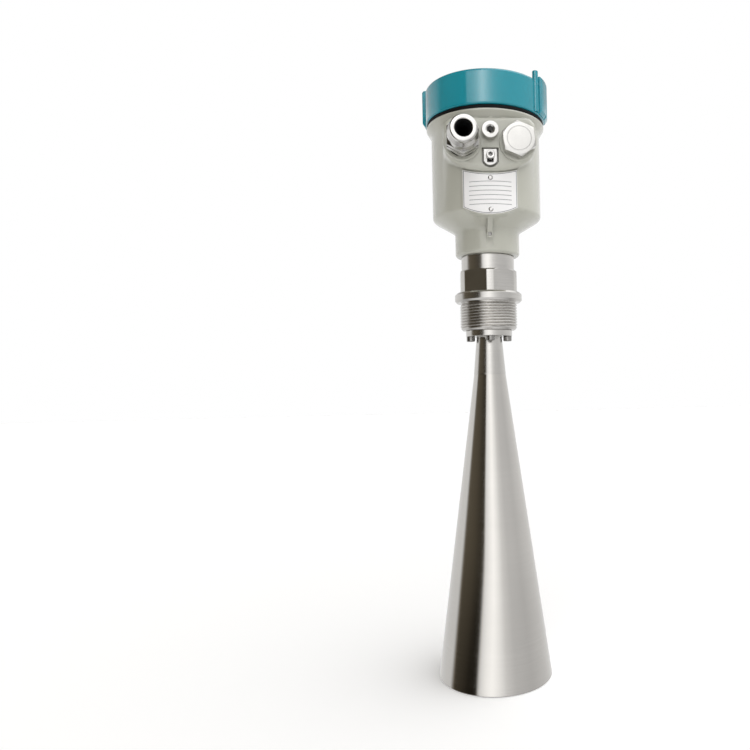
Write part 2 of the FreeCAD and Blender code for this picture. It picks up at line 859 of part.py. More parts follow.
def rivet(name, height):
    shank_top = plate_face - rivet_foot
    body = turned(name, [
        (zero, zero),
        (s.rivet_radius, zero),
        (s.rivet_radius, shank_top),
        (s.rivet_head_radius, shank_top),
        (s.rivet_head_radius, shank_top + s.rivet_head_height / 2),
        (s.rivet_radius, shank_top + s.rivet_head_height),
        (zero, shank_top + s.rivet_head_height),
    ])
    return moved(body, y=-rivet_foot, z=height, turn=FORWARD)


low_rivet = rivet("low_rivet", low_rivet_z)
high_rivet = rivet("high_rivet", high_rivet_z)
node("nameplate_rivets", fuse("nameplate_rivets", low_rivet, high_rivet))

# Locking screw in the foot of the rib.
lock_length = rib_foot_reach - s.stem_radius - s.slip_fit * 4
lock_blank = cylinder("lock_blank", s.lock_screw_radius, lock_length)
lock_socket = prism("lock_socket", s.lock_screw_radius, lock_length / 3, z=lock_length * 2 / 3)
lock_one = cut("locking_screw", lock_blank, lock_socket)
node("locking_screw", moved(lock_one, y=-s.stem_radius - s.slip_fit * 2, z=lock_z, turn=FORWARD))

# Lid seal and lid.
seal_low = shoulder + 0.1
seal_high = seal_low + s.lid_seal_height
seal_inner = top_collar_radius + s.slip_fit
seal_round = s.lid_seal_height * 0.2
node("lid_seal", turned("lid_seal", [
    (seal_inner, seal_low),
    (seal_inner + s.lid_seal_width - seal_round, seal_low),
    (seal_inner + s.lid_seal_width, seal_low + seal_round),
    (seal_inner + s.lid_seal_width, seal_high - seal_round),
    (seal_inner + s.lid_seal_width - seal_round, seal_high),
    (seal_inner, seal_high),
]))
lid_low = shoulder + s.lid_gap
lid_rim = lid_low + s.lid_height
lid_bore = top_collar_radius + s.lid_clearance
lid_radius = lid_bore + s.lid_wall
lid_roof = lid_rim - s.lid_top_thickness
lid_form = turned("lid_form", [
    (zero, lid_low),
    (lid_radius, lid_low),
    (lid_radius, lid_rim),
    (zero, lid_rim),
])
rounded(lid_form, "lid_rim_edge", s.lid_rim_round, ring_edge(lid_radius, lid_rim))
rounded(lid_form, "lid_foot_edge", s.lid_foot_round, ring_edge(lid_radius, lid_low))


def grip_post(name):
    # A round post half sunk in the side of the lid, standing above its rim.
    low = lid_low + s.lid_foot_round
    top = lid_rim + s.post_rise
    edge = s.post_radius * 0.15
    body = turned(name, [
        (zero, low),
        (s.post_radius, low),
        (s.post_radius, top - edge),
        (s.post_radius - edge, top),
        (zero, top),
    ])
    return moved(body, x=lid_radius - s.post_inset)


def grip_lug(name):
    # The wide lug beside the post: a piece of a ring round the lid, with a groove down its middle.
    reach = lid_radius + s.lug_proud
    root = lid_radius - s.lid_wall * 0.8
    low = lid_low + s.lid_foot_round
    top = lid_rim + s.lug_rise
    ring = turned(name + "_ring", [
        (root, low),
        (lid_radius + s.lug_proud / 4, low),
        (reach, low + s.lug_proud),
        (reach, top - s.lug_proud / 2),
        (reach - s.lug_proud / 2, top),
        (root, top),
    ])
    slab = doc.addObject("Part::Box", name + "_slab")
    bind(slab, Length=reach, Width=s.lug_width, Height=s.lid_height * 2)
    place(slab, s.lug_proud, -s.lug_width / 2, lid_low - s.lid_gap)
    form = common(name + "_form", ring, slab)
    groove = cylinder(name + "_groove", s.lug_groove / 2, s.lid_height * 2, x=reach, z=lid_low - s.lug_proud)
    return cut(name, form, groove)


def about_axis(name, source, degrees):
    obj = doc.addObject("Part::Feature", name)
    doc.recompute()
    shape = source.Shape.copy()
    spin = FreeCAD.Placement(Vector(0, 0, 0), FreeCAD.Rotation(Vector(0, 0, 1), degrees))
    shape.Placement = spin.multiply(shape.Placement)
    obj.Shape = shape
    return obj


# Grip angles count from the front (-Y) towards +X.
post = grip_post("grip_post")
lug = grip_lug("grip_lug")
grips = []
for side in (0.0, 180.0):
    grips.append(about_axis("post_%d" % side, post, s.grip_angle.value - 90.0 + side))
    grips.append(about_axis("lug_%d" % side, lug, s.lug_angle.value - 90.0 + side))
lid_outer = fuse("lid_outer", lid_form, *grips)
lid_hollow = turned("lid_hollow", [
    (zero, lid_low),
    (lid_bore, lid_low),
    (lid_bore, lid_roof - s.lid_top_thickness),
    (lid_bore - s.lid_top_thickness, lid_roof),
    (zero, lid_roof),
])
node("lid", cut("lid", lid_outer, lid_hollow))

# Cable gland. Its pieces are built along Z from the boss face, then turned to the front.
washer_top = s.gland_washer_height
gland_hex_low = washer_top + s.gland_collar_height
gland_hex_top = gland_hex_low + s.gland_hex_height
gland_end = gland_hex_top + s.gland_neck_length


def at_entry(obj, x):
    return moved(obj, x=x, y=-boss_reach, z=entry_z, turn=FORWARD)


def entry_washer(name):
    return turned(name, [
        (s.entry_hole_radius, zero),
        (s.gland_washer_radius, zero),
        (s.gland_washer_radius, washer_top),
        (s.entry_hole_radius, washer_top),
    ])


node("gland_washer", at_entry(entry_washer("gland_washer"), -s.entry_offset))
gland_corner = s.gland_flats / ROOT3
gland_chamfer = (gland_corner - s.gland_flats / 2) * 0.6
gland_turned = turned("gland_turned", [
    (s.gland_bore, -s.gland_thread_length),
    (s.gland_thread_radius, -s.gland_thread_length),
    (s.gland_thread_radius, washer_top),
    (s.gland_collar_radius, washer_top),
    (s.gland_collar_radius, gland_hex_low),
    (gland_corner - gland_chamfer, gland_hex_low),
    (gland_corner, gland_hex_low + gland_chamfer),
    (gland_corner, gland_hex_top - gland_chamfer),
    (gland_corner - gland_chamfer, gland_hex_top),
    (s.gland_thread_radius, gland_hex_top),
    (s.gland_thread_radius, gland_end),
    (s.gland_bore, gland_end),
])
gland_flats = flats_ring(
    "gland_flats", s.gland_flats, gland_corner, s.gland_hex_height, gland_hex_low, TWELFTH
)
node("gland_body", at_entry(cut("gland_body", gland_turned, gland_flats), -s.entry_offset))

nut_low = gland_hex_top + s.nut_gap
nut_hex_top = nut_low + s.nut_hex_height
nut_top = nut_low + s.nut_length
nut_bore = s.gland_thread_radius + s.slip_fit * 2
nut_cone_low = gland_end + s.nut_gap * 2
nut_cone_top = nut_top - s.nut_gap * 2
nut_rim = nut_hex_top + s.nut_length * 0.3
nut_turned = turned("nut_turned", [
    (nut_bore, nut_low),
    (gland_corner - gland_chamfer, nut_low),
    (gland_corner, nut_low + gland_chamfer),
    (gland_corner, nut_hex_top - gland_chamfer),
    (s.nut_radius, nut_hex_top),
    (s.nut_radius, nut_rim),
    (s.nut_nose_radius, nut_top - s.nut_nose_length),
    (s.nut_nose_radius, nut_top),
    (s.nut_opening, nut_top),
    (s.nut_opening, nut_cone_top),
    (nut_bore, nut_cone_low),
])
rounded(nut_turned, "nut_shoulder", s.nut_edge_round, ring_edge(s.nut_radius, nut_rim))
nut_flats = flats_ring("nut_flats", s.gland_flats, gland_corner, s.nut_hex_height, nut_low, TWELFTH)
node("gland_nut", at_entry(cut("gland_nut", nut_turned, nut_flats), -s.entry_offset))

insert_radius = s.gland_bore - s.slip_fit * 2
insert_low = gland_hex_top + s.nut_gap
insert_mid = gland_end + s.slip_fit * 2
insert_wide = s.gland_thread_radius - s.slip_fit * 2
node("gland_seal", at_entry(turned("gland_seal", [
    (s.cable_radius, insert_low),
    (insert_radius, insert_low),
    (insert_radius, insert_mid),
    (insert_wide, insert_mid),
    (insert_wide, nut_cone_low - s.slip_fit),
    (s.nut_opening - s.slip_fit * 2, nut_cone_top - s.slip_fit),
    (s.nut_opening - s.slip_fit * 2, nut_top - s.nut_gap),
    (s.cable_radius, nut_top - s.nut_gap),
]), -s.entry_offset))

# Blanking plug in the second entry.
node("plug_washer", at_entry(entry_washer("plug_washer"), s.entry_offset))
plug_top = washer_top + s.plug_head_height
plug_hex_top = washer_top + s.plug_hex_height
plug_edge = gland_chamfer / 2
plug_turned = turned("plug_turned", [
    (zero, -s.gland_thread_length),
    (s.gland_thread_radius, -s.gland_thread_length),
    (s.gland_thread_radius, washer_top),
    (gland_corner, washer_top),
    (gland_corner, plug_hex_top - gland_chamfer),
    (gland_corner - gland_chamfer, plug_hex_top),
    (s.plug_face_radius, plug_hex_top),
    (s.plug_face_radius, plug_top - plug_edge),
    (s.plug_face_radius - plug_edge, plug_top),
    (zero, plug_top),
])
plug_flats = flats_ring("plug_flats", s.gland_flats, gland_corner, s.plug_hex_height, washer_top, TWELFTH)
node("blanking_plug", at_entry(cut("blanking_plug", plug_turned, plug_flats), s.entry_offset))

# Breather plug on the web between the entries.


def at_breather(obj):
    return moved(obj, y=-block_reach, z=breather_z, turn=FORWARD)


node("breather_washer", at_breather(turned("breather_washer", [
    (s.breather_shank_radius + s.slip_fit, zero),
    (s.breather_head_radius * 0.94, zero),
    (s.breather_head_radius * 0.94, s.breather_washer_height),
    (s.breather_shank_radius + s.slip_fit, s.breather_washer_height),
])))
breather_top = s.breather_washer_height + s.breather_head_height
breather_edge = s.breather_head_height * 0.12
breather_channel = s.breather_shank_radius * 0.3
breather_turned = turned("breather_turned", [
    (breather_channel, -s.breather_shank_length),
    (s.breather_shank_radius, -s.breather_shank_length),
    (s.breather_shank_radius, s.breather_washer_height),
    (s.breather_head_radius, s.breather_washer_height),
    (s.breather_head_radius, breather_top - breather_edge),
    (s.breather_head_radius - breather_edge, breather_top),
    (breather_channel, breather_top),
])
breather_depth = s.breather_head_height * 0.75
breather_key = prism("breather_key", s.breather_socket, breather_depth, z=breather_top - breather_depth)
node("breather_plug", at_breather(cut("breather_plug", breather_turned, breather_key)))

# Outer earth terminal: clamp plate in its slot, held by one screw.
plate_form = tongue("earth_form", s.earth_width / 2, earth_low, earth_high, s.earth_thickness)
earth_face = slot_floor + s.earth_thickness
earth_notch = box(
    "earth_notch", s.earth_notch_width, s.earth_notch_depth * 2, earth_z - earth_low - s.earth_screw_radius,
    zero, -earth_face - s.earth_notch_depth, earth_low + s.earth_notch_depth,
)
earth_through = cylinder(
    "earth_through", s.earth_screw_radius + s.slip_fit, block_reach, z=earth_z, turn=FORWARD
)
earth_through.setExpression("Height", (earth_face + s.earth_notch_depth).text)
node("earth_clamp", cut("earth_clamp", plate_form, earth_notch, earth_through))
earth_one = cap_screw(
    "earth_screw", s.earth_screw_head_radius, s.earth_screw_head_height,
    s.earth_screw_socket, s.earth_screw_radius, s.earth_thickness + s.earth_screw_grip,
)
BACKWARD = FreeCAD.Rotation(Vector(1, 0, 0), -90)
node("earth_screw", moved(earth_one, y=-earth_face, z=earth_z, turn=BACKWARD))

# Electronics module: potted cup with a pillar that carries the adjusting module.
module_radius = cavity - s.module_clearance
pillar_top = module_top + s.pillar_height
guide_socket = s.waveguide_radius + s.slip_fit * 2
recess_radius = s.stem_end_radius + s.module_recess_margin
module_turned = turned("module_turned", [
    (zero, guide_top + s.swivel_gap),
    (guide_socket, guide_top + s.swivel_gap),
    (guide_socket, floor + s.module_recess_height),
    (recess_radius, floor + s.module_recess_height),
    (recess_radius, floor),
    (module_radius, floor),
    (module_radius, module_top),
    (s.pillar_radius, module_top),
    (s.pillar_radius, pillar_top),
    (zero, pillar_top),
])
module_hole = cylinder(
    "module_hole", s.horn_screw_radius + s.slip_fit, s.module_height, x=s.module_screw_offset, z=floor
)
module_holes = copies("module_holes", module_hole, on_circle(s.module_screw_offset, 2))
node("electronics_module", cut("electronics_module", module_turned, module_holes))
module_screw = cap_screw(
    "module_screw", s.horn_screw_head_radius, s.horn_screw_head_height, s.horn_screw_socket,
    s.horn_screw_radius, s.module_height + module_tap_depth * 0.9,
)
moved(module_screw, x=s.module_screw_offset, z=module_top, turn=FreeCAD.Rotation(Vector(1, 0, 0), 180))
node("module_screws", copies("module_screws", module_screw, on_circle(s.module_screw_offset, 2)))

# Terminal block with four ways.
terminal_front = module_radius - s.terminal_inset
terminal_form = box(
    "terminal_form", s.terminal_width, s.terminal_depth, s.terminal_height,
    zero, -terminal_front, module_top,
)
wire_ways = []
screw_ways = []
terminal_screw_set = []
wire_z = module_top + s.terminal_height * 0.35
screw_y = -terminal_front + s.terminal_depth / 2
screw_top = module_top + s.terminal_height
for way in range(4):
    way_x = s.terminal_pitch * (way - 1.5)
    wire_ways.append(cylinder(
        "wire_way_%d" % way, s.wire_hole_radius, s.terminal_depth * 0.7,
        x=way_x, y=-terminal_front + s.terminal_depth * 0.6, z=wire_z, turn=FORWARD,
    ))
    screw_ways.append(cylinder(
        "screw_way_%d" % way, s.terminal_screw_radius + s.slip_fit, s.terminal_height * 0.5,
        x=way_x, y=screw_y, z=screw_top - s.terminal_height * 0.4,
    ))
    blank = cylinder(
        "terminal_blank_%d" % way, s.terminal_screw_radius, s.terminal_height * 0.3,
        x=way_x, y=screw_y, z=screw_top - s.terminal_height * 0.4,
    )
    slit = box(
        "terminal_slit_%d" % way, s.terminal_screw_radius * 3, s.terminal_screw_radius * 0.4,
        s.terminal_height * 0.2,
        way_x, screw_y - s.terminal_screw_radius * 0.2, screw_top - s.terminal_height * 0.2,
    )
    terminal_screw_set.append(cut("terminal_screw_%d" % way, blank, slit))
node("terminal_block", cut("terminal_block", terminal_form, *(wire_ways + screw_ways)))
node("terminal_screws", fuse("terminal_screws", *terminal_screw_set))

# Inner earth screw.
inner_earth = cap_screw(
    "inner_earth", s.horn_screw_head_radius, s.horn_screw_head_height, s.horn_screw_socket,
    s.horn_screw_radius, s.terminal_depth * 0.7,
)
inner_earth_z = inner_boss_low + s.terminal_depth
node("inner_earth_screw", moved(
    inner_earth, y=earth_tap_y, z=inner_earth_z, turn=FreeCAD.Rotation(Vector(1, 0, 0), 180)
))

# Adjusting module: round frame with a screen and four keys.
adjuster_low = pillar_top
adjuster_top = adjuster_low + s.adjuster_height
adjuster_form = turned("adjuster_form", [
    (zero, adjuster_low),
    (s.adjuster_radius - s.collar_chamfer, adjuster_low),
    (s.adjuster_radius, adjuster_low + s.collar_chamfer),
    (s.adjuster_radius, adjuster_top - s.collar_chamfer),
    (s.adjuster_radius - s.collar_chamfer, adjuster_top),
    (zero, adjuster_top),
])
screen_low = adjuster_top - s.screen_thickness
screen_pit = box(
    "screen_pit", s.screen_width, s.screen_depth, s.screen_thickness * 2,
    zero, s.screen_shift - s.screen_depth / 2, screen_low,
)
key_pits = []
key_floor = adjuster_top + s.key_proud - s.key_height - s.key_proud
for count in range(4):
    key_x = s.key_pitch * (count - 1.5)
    key_pits.append(box(
        "key_pit_%d" % count,
        s.key_width + s.swivel_gap * 2, s.key_depth + s.swivel_gap * 2, s.key_height * 2,
        key_x, -s.key_row - s.key_depth / 2 - s.swivel_gap, key_floor,
    ))
node("adjuster_frame", cut("adjuster_frame", adjuster_form, screen_pit, *key_pits))
node("display_screen", box(
    "display_screen", s.screen_width - s.slip_fit * 2, s.screen_depth - s.slip_fit * 2,
    s.screen_thickness - s.slip_fit * 2, zero, s.screen_shift - s.screen_depth / 2 + s.slip_fit, screen_low,
))
for count in range(4):
    key_x = s.key_pitch * (count - 1.5)
    cap = doc.addObject("PartDesign::Body", "key_%d" % (count + 1))
    cap_sketch = sketch_on(cap, "key_outline_%d" % count, "XY_Plane")
    half_w = s.key_width / 2
    half_d = s.key_depth / 2
    outline(cap_sketch, [
        (key_x - half_w, -s.key_row - half_d),
        (key_x + half_w, -s.key_row - half_d),
        (key_x + half_w, -s.key_row + half_d),
        (key_x - half_w, -s.key_row + half_d),
    ])
    cap_sketch.setExpression("AttachmentOffset.Base.z", (adjuster_top + s.key_proud - s.key_height).text)
    cap_pad = cap.newObject("PartDesign::Pad", "key_pad_%d" % count)
    cap_pad.Profile = cap_sketch
    cap_pad.setExpression("Length", s.key_height.text)
    cap.Tip = cap_pad
    node("key_%d" % (count + 1), cap)

doc.recompute()

faults = []
for obj in doc.Objects:
    if "Invalid" in obj.State or "Error" in obj.State:
        faults.append("%s %s" % (obj.Name, obj.State))
for obj in nodes:
    shape = obj.Shape
    if shape.isNull() or not shape.isValid() or not shape.Solids:
        faults.append("%s has no valid solid" % obj.Label)
if faults:
    raise RuntimeError("; ".join(faults))
for obj in nodes:
    obj.Shape.exportStep("parts/%s.step" % obj.Label)
    bounds = obj.Shape.BoundBox
    print("%-20s solids %2d volume %9.0f  z %7.1f %7.1f" % (
        obj.Label, len(obj.Shape.Solids), obj.Shape.Volume, bounds.ZMin, bounds.ZMax,
    ))
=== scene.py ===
import bpy
import bmesh
import json
import math
from mathutils import Matrix, Vector


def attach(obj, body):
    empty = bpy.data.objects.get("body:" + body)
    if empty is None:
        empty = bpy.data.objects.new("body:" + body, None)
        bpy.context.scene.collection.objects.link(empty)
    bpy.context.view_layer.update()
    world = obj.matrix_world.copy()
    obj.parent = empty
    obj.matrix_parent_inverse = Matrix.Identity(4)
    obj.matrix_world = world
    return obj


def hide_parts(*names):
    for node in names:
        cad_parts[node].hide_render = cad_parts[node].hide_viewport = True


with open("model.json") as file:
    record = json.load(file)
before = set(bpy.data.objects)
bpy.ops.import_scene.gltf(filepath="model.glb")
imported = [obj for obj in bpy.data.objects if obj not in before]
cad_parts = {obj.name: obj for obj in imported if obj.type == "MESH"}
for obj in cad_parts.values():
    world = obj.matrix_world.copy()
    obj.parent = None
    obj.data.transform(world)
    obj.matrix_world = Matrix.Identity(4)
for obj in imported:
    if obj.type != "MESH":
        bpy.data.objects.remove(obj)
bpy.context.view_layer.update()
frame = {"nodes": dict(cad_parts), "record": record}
nodes = frame["nodes"]
scene = bpy.context.scene
scene.view_settings.view_transform = "Standard"
mm = 0.001
print("frame loaded:", len(nodes), "solids")


def spun(degrees, axis):
    return Matrix.Rotation(math.radians(degrees), 4, axis)


viewPoint = {
    "distance": 0.570,       # metres from the meter's axis
    "eyeHeight": -0.0636,
    "azimuth": -4.3,
    "roll": -1.15,
    "focalPx": 679.0,
    "framePx": 750.0,
    "column": 490.0,         # where the axis crosses the eye row
    "row": 379.0,
    "sensor": 36.0,
    "clip": (0.01, 50.0),
}


def placeCamera(s):
    data = bpy.data.cameras.new("studioCamera")
    data.sensor_width = s["sensor"]
    data.lens = s["sensor"] * s["focalPx"] / s["framePx"]
    data.shift_x = -(s["column"] - s["framePx"] / 2) / s["framePx"]
    data.shift_y = (s["row"] - s["framePx"] / 2) / s["framePx"]
    data.clip_start, data.clip_end = s["clip"]
    camera = bpy.data.objects.new("studioCamera", data)
    scene.collection.objects.link(camera)
    swing = math.radians(s["azimuth"])
    spot = Vector((math.sin(swing), -math.cos(swing), 0)) * s["distance"]
    spot.z = s["eyeHeight"]
    turn = spun(s["azimuth"], "Z") @ spun(90.0, "X")
    camera.matrix_world = Matrix.Translation(spot) @ turn @ spun(s["roll"], "Z")
    scene.camera = camera


placeCamera(viewPoint)

# studio: a white room with a bright window in front and a dark opening on the left
studio = {
    "window": [               # degrees from the front towards the right, brightness round the horizon
        (-180, 0.95), (-106, 0.93), (-100, 0.42), (-95, 0.15), (-62, 0.105), (-42, 0.055), (-32, 0.06),
        (-27.5, 1.12), (-15, 1.45), (-4, 1.66), (6, 1.42), (20, 1.00), (36, 0.81), (72, 0.75),
        (100, 0.86), (130, 0.95), (180, 0.95),
    ],
    "ceiling": [
        (-180, 0.50), (-140, 0.18), (-60, 0.10), (-20, 0.85), (30, 1.95), (80, 2.10), (130, 1.50),
        (180, 0.50),
    ],
    "lean": [                 # degrees by which the window widens to the left near the floor
        (-180, 0.0), (-80, 0.0), (-48, 12.0), (-22, 12.0), (10, 4.0), (40, 0.0), (180, 0.0),
    ],
    "leanFrom": 0.0,          # these and the angles below are heights over the horizon, in degrees
    "leanTo": -10.0,
    "softbox": [              # the strip of room above the window, which only the lid mirrors
        (-180, 0.60), (-112, 0.70), (-104, 0.50), (-96, 0.24), (-62, 0.26), (-39.5, 0.22), (-37, 1.5),
        (-32, 1.65), (-25, 2.0), (-18, 2.9), (-11, 4.4), (-6, 4.7), (0, 3.3), (6, 2.3), (13, 1.5),
        (21, 1.1), (30, 0.9), (45, 0.75), (72, 0.68), (100, 0.6), (130, 0.45), (180, 0.60),
    ],
    "softboxFrom": (20.6, 22.0),
    "softboxTo": (28.0, 32.0),
    "shade": (1.0, 0.84, 0.60),   # warm tone of the dark opening
    "shadeFade": (0.12, 0.5),     # brightness over which that tone turns white
    "dim": 0.08,              # taken off below the horizon, so the opening darkens towards the floor
    "dimFrom": -14.0,
    "dimTo": 2.0,
    "least": 0.02,
    "ground": (0.45, 1.0),    # what metal mirrors from below, brighter straight down
    "groundFrom": -28.0,
    "groundTo": -48.0,
    "groundEnd": -80.0,
    "horizonTop": 19.0,       # the window's upper edge
    "ceilingFrom": 42.0,
    "floorHeight": -0.3095,
    "floorSize": 9.0,
    "floorTone": 0.97,
    "floorRough": 0.9,
    "floorShine": 0.1,
    "floorLift": 0.12,        # for the eye alone, so the floor runs into the white room
}


def feed(tree, node, values):
    # an output is linked to its socket, a number or colour is set on it
    for label, value in values.items():
        if isinstance(value, bpy.types.NodeSocket):
            tree.links.new(value, node.inputs[label])
        else:
            node.inputs[label].default_value = value
    return node


def nodeOf(tree, kind, values):
    return feed(tree, tree.nodes.new("ShaderNode" + kind), values)


def mathOf(tree, operation, first, second):
    step = nodeOf(tree, "Math", {0: first, 1: second})
    step.operation = operation
    return step.outputs[0]


def spreadOf(tree, value, low, high, toLow, toHigh, smooth=False):
    span = nodeOf(tree, "MapRange", {
        "Value": value, "From Min": low, "From Max": high, "To Min": toLow, "To Max": toHigh})
    span.interpolation_type = "SMOOTHSTEP" if smooth else "LINEAR"
    return span.outputs["Result"]


def mixOf(tree, factor, first, second, colour=False, blend="MIX"):
    mix = tree.nodes.new("ShaderNodeMix")
    mix.data_type = "RGBA" if colour else "FLOAT"
    mix.blend_type = blend
    low, high, result = (6, 7, 2) if colour else (2, 3, 0)   # the node has sockets for each kind of value
    feed(tree, mix, {"Factor": factor, low: first, high: second})
    return mix.outputs[result]


def bandOf(tree, turn, stops):
    # brightness by compass angle
    ramp = nodeOf(tree, "ValToRGB", {"Fac": turn})
    elements = ramp.color_ramp.elements
    while len(elements) > 1:
        elements.remove(elements[-1])
    top = max(level for angle, level in stops)
    for index, (angle, level) in enumerate(stops):
        spot = (angle + 180.0) / 360.0
        element = elements[0] if index == 0 else elements.new(spot)
        element.position = spot
        tone = level / top
        element.color = (tone, tone, tone, 1)
    return mathOf(tree, "MULTIPLY", ramp.outputs["Color"], top)


def lightStudio(s):
    world = bpy.data.worlds.new("studio")
    scene.world = world
    world.use_nodes = True
    tree = world.node_tree
    where = nodeOf(tree, "TexCoord", {})
    parts = nodeOf(tree, "SeparateXYZ", {0: where.outputs["Generated"]})

    def fadeOf(start, end, atStart, atEnd, smooth=True):
        # from one height over the horizon to another
        low, high = (math.sin(math.radians(angle)) for angle in (start, end))
        return spreadOf(tree, parts.outputs["Z"], low, high, atStart, atEnd, smooth)

    ahead = mathOf(tree, "MULTIPLY", parts.outputs["Y"], -1.0)
    turn = mathOf(tree, "ARCTAN2", parts.outputs["X"], ahead)
    turn = spreadOf(tree, turn, -math.pi, math.pi, 0.0, 1.0)
    depth = fadeOf(s["leanTo"], s["leanFrom"], 1.0 / 360.0, 0.0, False)
    lean = mathOf(tree, "MULTIPLY", bandOf(tree, turn, s["lean"]), depth)
    window = bandOf(tree, mathOf(tree, "ADD", turn, lean), s["window"])
    rise = fadeOf(s["horizonTop"], s["ceilingFrom"], 0.0, 1.0)
    room = mixOf(tree, rise, window, bandOf(tree, turn, s["ceiling"]))
    dimmed = mathOf(tree, "SUBTRACT", room, fadeOf(s["dimFrom"], s["dimTo"], s["dim"], 0.0))
    level = mathOf(tree, "MAXIMUM", dimmed, s["least"])
    ground = fadeOf(s["groundEnd"], s["groundTo"], s["ground"][1], s["ground"][0], False)
    level = mixOf(tree, fadeOf(s["groundTo"], s["groundFrom"], 1.0, 0.0), level, ground)
    begun = fadeOf(*s["softboxFrom"], 0.0, 1.0)
    ended = fadeOf(*s["softboxTo"], 1.0, 0.0)
    strip = mathOf(tree, "MULTIPLY", begun, ended)
    level = mixOf(tree, strip, level, bandOf(tree, turn, s["softbox"]))
    path = nodeOf(tree, "LightPath", {})
    shown = mixOf(tree, path.outputs["Is Camera Ray"], level, 1.0)
    lit = spreadOf(tree, shown, *s["shadeFade"], 0.0, 1.0)
    tone = mixOf(tree, lit, (*s["shade"], 1), (1, 1, 1, 1), True)
    feed(tree, tree.nodes["Background"], {"Strength": shown, "Color": tone})


def layFloor(s):
    half = s["floorSize"] / 2
    mesh = bpy.data.meshes.new("studioFloor")
    z = s["floorHeight"]
    corners = [(-half, -half, z), (half, -half, z), (half, half, z), (-half, half, z)]
    mesh.from_pydata(corners, [], [(0, 1, 2, 3)])
    floor = bpy.data.objects.new("studioFloor", mesh)
    scene.collection.objects.link(floor)
    material, tree, shader = startFinish("paleFloor")
    tone = s["floorTone"]
    path = nodeOf(tree, "LightPath", {})
    feed(tree, shader, {
        "Base Color": (tone, tone, tone, 1), "Roughness": s["floorRough"],
        "Specular IOR Level": s["floorShine"], "Emission Color": (1, 1, 1, 1),
        "Emission Strength": mathOf(tree, "MULTIPLY", path.outputs["Is Camera Ray"], s["floorLift"])})
    clear = nodeOf(tree, "BsdfTransparent", {})   # mirrored rays pass the floor and see the room
    blend = nodeOf(tree, "MixShader", {
        "Fac": path.outputs["Is Glossy Ray"], 1: shader.outputs["BSDF"], 2: clear.outputs["BSDF"]})
    feed(tree, tree.nodes["Material Output"], {"Surface": blend.outputs["Shader"]})
    mesh.materials.append(material)


def startFinish(name):
    material = bpy.data.materials.new(name)
    material.use_nodes = True
    tree = material.node_tree
    return material, tree, tree.nodes["Principled BSDF"]


lightStudio(studio)
layFloor(studio)
print("studio lit")

# finishes, all on object coordinates
surface = {
    "noiseSpan": (0.3, 0.7),      # where most values of the noise lie
    "stainSpan": (0.15, 0.36),    # the same for two noises multiplied
    "hollowSpan": (0.35, 0.95),
    "hollowSamples": 8,
    "cloudDetail": 3.0,
    "peelDetail": 2.0,
    "peelDeep": 0.0002,           # metres
    "paintVary": 0.05,
    "lineDetail": 3.0,
    "lineRough": 0.6,
    "grainDetail": 4.0,
    "grainDeep": 0.0001,
    "dullVary": 0.06,
}


def noiseOn(tree, stretch, detail, roughness=0.5):
    where = nodeOf(tree, "TexCoord", {})
    mapping = nodeOf(tree, "Mapping", {"Vector": where.outputs["Object"], "Scale": stretch})
    noise = nodeOf(tree, "TexNoise", {
        "Vector": mapping.outputs["Vector"], "Scale": 1.0, "Detail": detail, "Roughness": roughness})
    return noise.outputs["Fac"]


def bumpOn(tree, shader, height, strength, depth):
    bump = nodeOf(tree, "Bump", {"Strength": strength, "Distance": depth, "Height": height})
    feed(tree, shader, {"Normal": bump.outputs["Normal"]})


def scaled(colour, factor):
    return tuple(min(1.0, channel * factor) for channel in colour)


def tintOn(tree, shader, noise, span, s):
    shade = spreadOf(tree, noise, *span, 0.0, 1.0)
    dark, light = (scaled(s["colour"], 1 + vary) for vary in (-s["vary"], s["vary"]))
    tint = mixOf(tree, shade, (*dark, 1), (*light, 1), True)
    if "grime" in s:
        # painted shade: ambient occlusion darkens the base colour in inner corners and sockets
        hollow = nodeOf(tree, "AmbientOcclusion", {"Distance": s["grimeReach"] * mm})
        hollow.only_local = True
        hollow.samples = surface["hollowSamples"]
        unshaded = spreadOf(tree, hollow.outputs["AO"], *surface["hollowSpan"], 1.0 - s["grime"], 1.0)
        tint = mixOf(tree, 1.0, tint, unshaded, True, "MULTIPLY")
    feed(tree, shader, {"Base Color": tint})


def roughOn(tree, shader, noise, rough, vary):
    spread = spreadOf(tree, noise, *surface["noiseSpan"], rough - vary, rough + vary)
    feed(tree, shader, {"Roughness": spread})


def paintFinish(name, s):
    material, tree, shader = startFinish(name)
    cloud = noiseOn(tree, (s["cloud"],) * 3, surface["cloudDetail"])
    peel = noiseOn(tree, (s["peel"],) * 3, surface["peelDetail"])
    tintOn(tree, shader, cloud, surface["noiseSpan"], s)
    roughOn(tree, shader, peel, s["rough"], surface["paintVary"])
    feed(tree, shader, {
        "Specular IOR Level": s["shine"], "IOR": s["ior"], "Coat Weight": s["coat"],
        "Coat IOR": s["coatIor"], "Coat Roughness": s["coatRough"]})
    bumpOn(tree, shader, peel, s["bump"], surface["peelDeep"])
    return material


def metalFinish(name, s):
    material, tree, shader = startFinish(name)
    feed(tree, shader, {"Metallic": 1.0})
    lines = noiseOn(tree, s["lines"], surface["lineDetail"], surface["lineRough"])
    cloud = noiseOn(tree, (s["cloud"],) * 3, surface["cloudDetail"])
    tintOn(tree, shader, mathOf(tree, "MULTIPLY", lines, cloud), surface["stainSpan"], s)
    roughOn(tree, shader, lines, s["rough"], s["roughVary"])
    bumpOn(tree, shader, lines, s["bump"], surface["grainDeep"])
    return material


def dullFinish(name, s):
    material, tree, shader = startFinish(name)
    grain = noiseOn(tree, (s["grain"],) * 3, surface["grainDetail"])
    tintOn(tree, shader, grain, surface["noiseSpan"], s)
    roughOn(tree, shader, grain, s["rough"], surface["dullVary"])
    feed(tree, shader, {"Specular IOR Level": s["shine"]})
    bumpOn(tree, shader, grain, s["bump"], surface["grainDeep"])
    return material


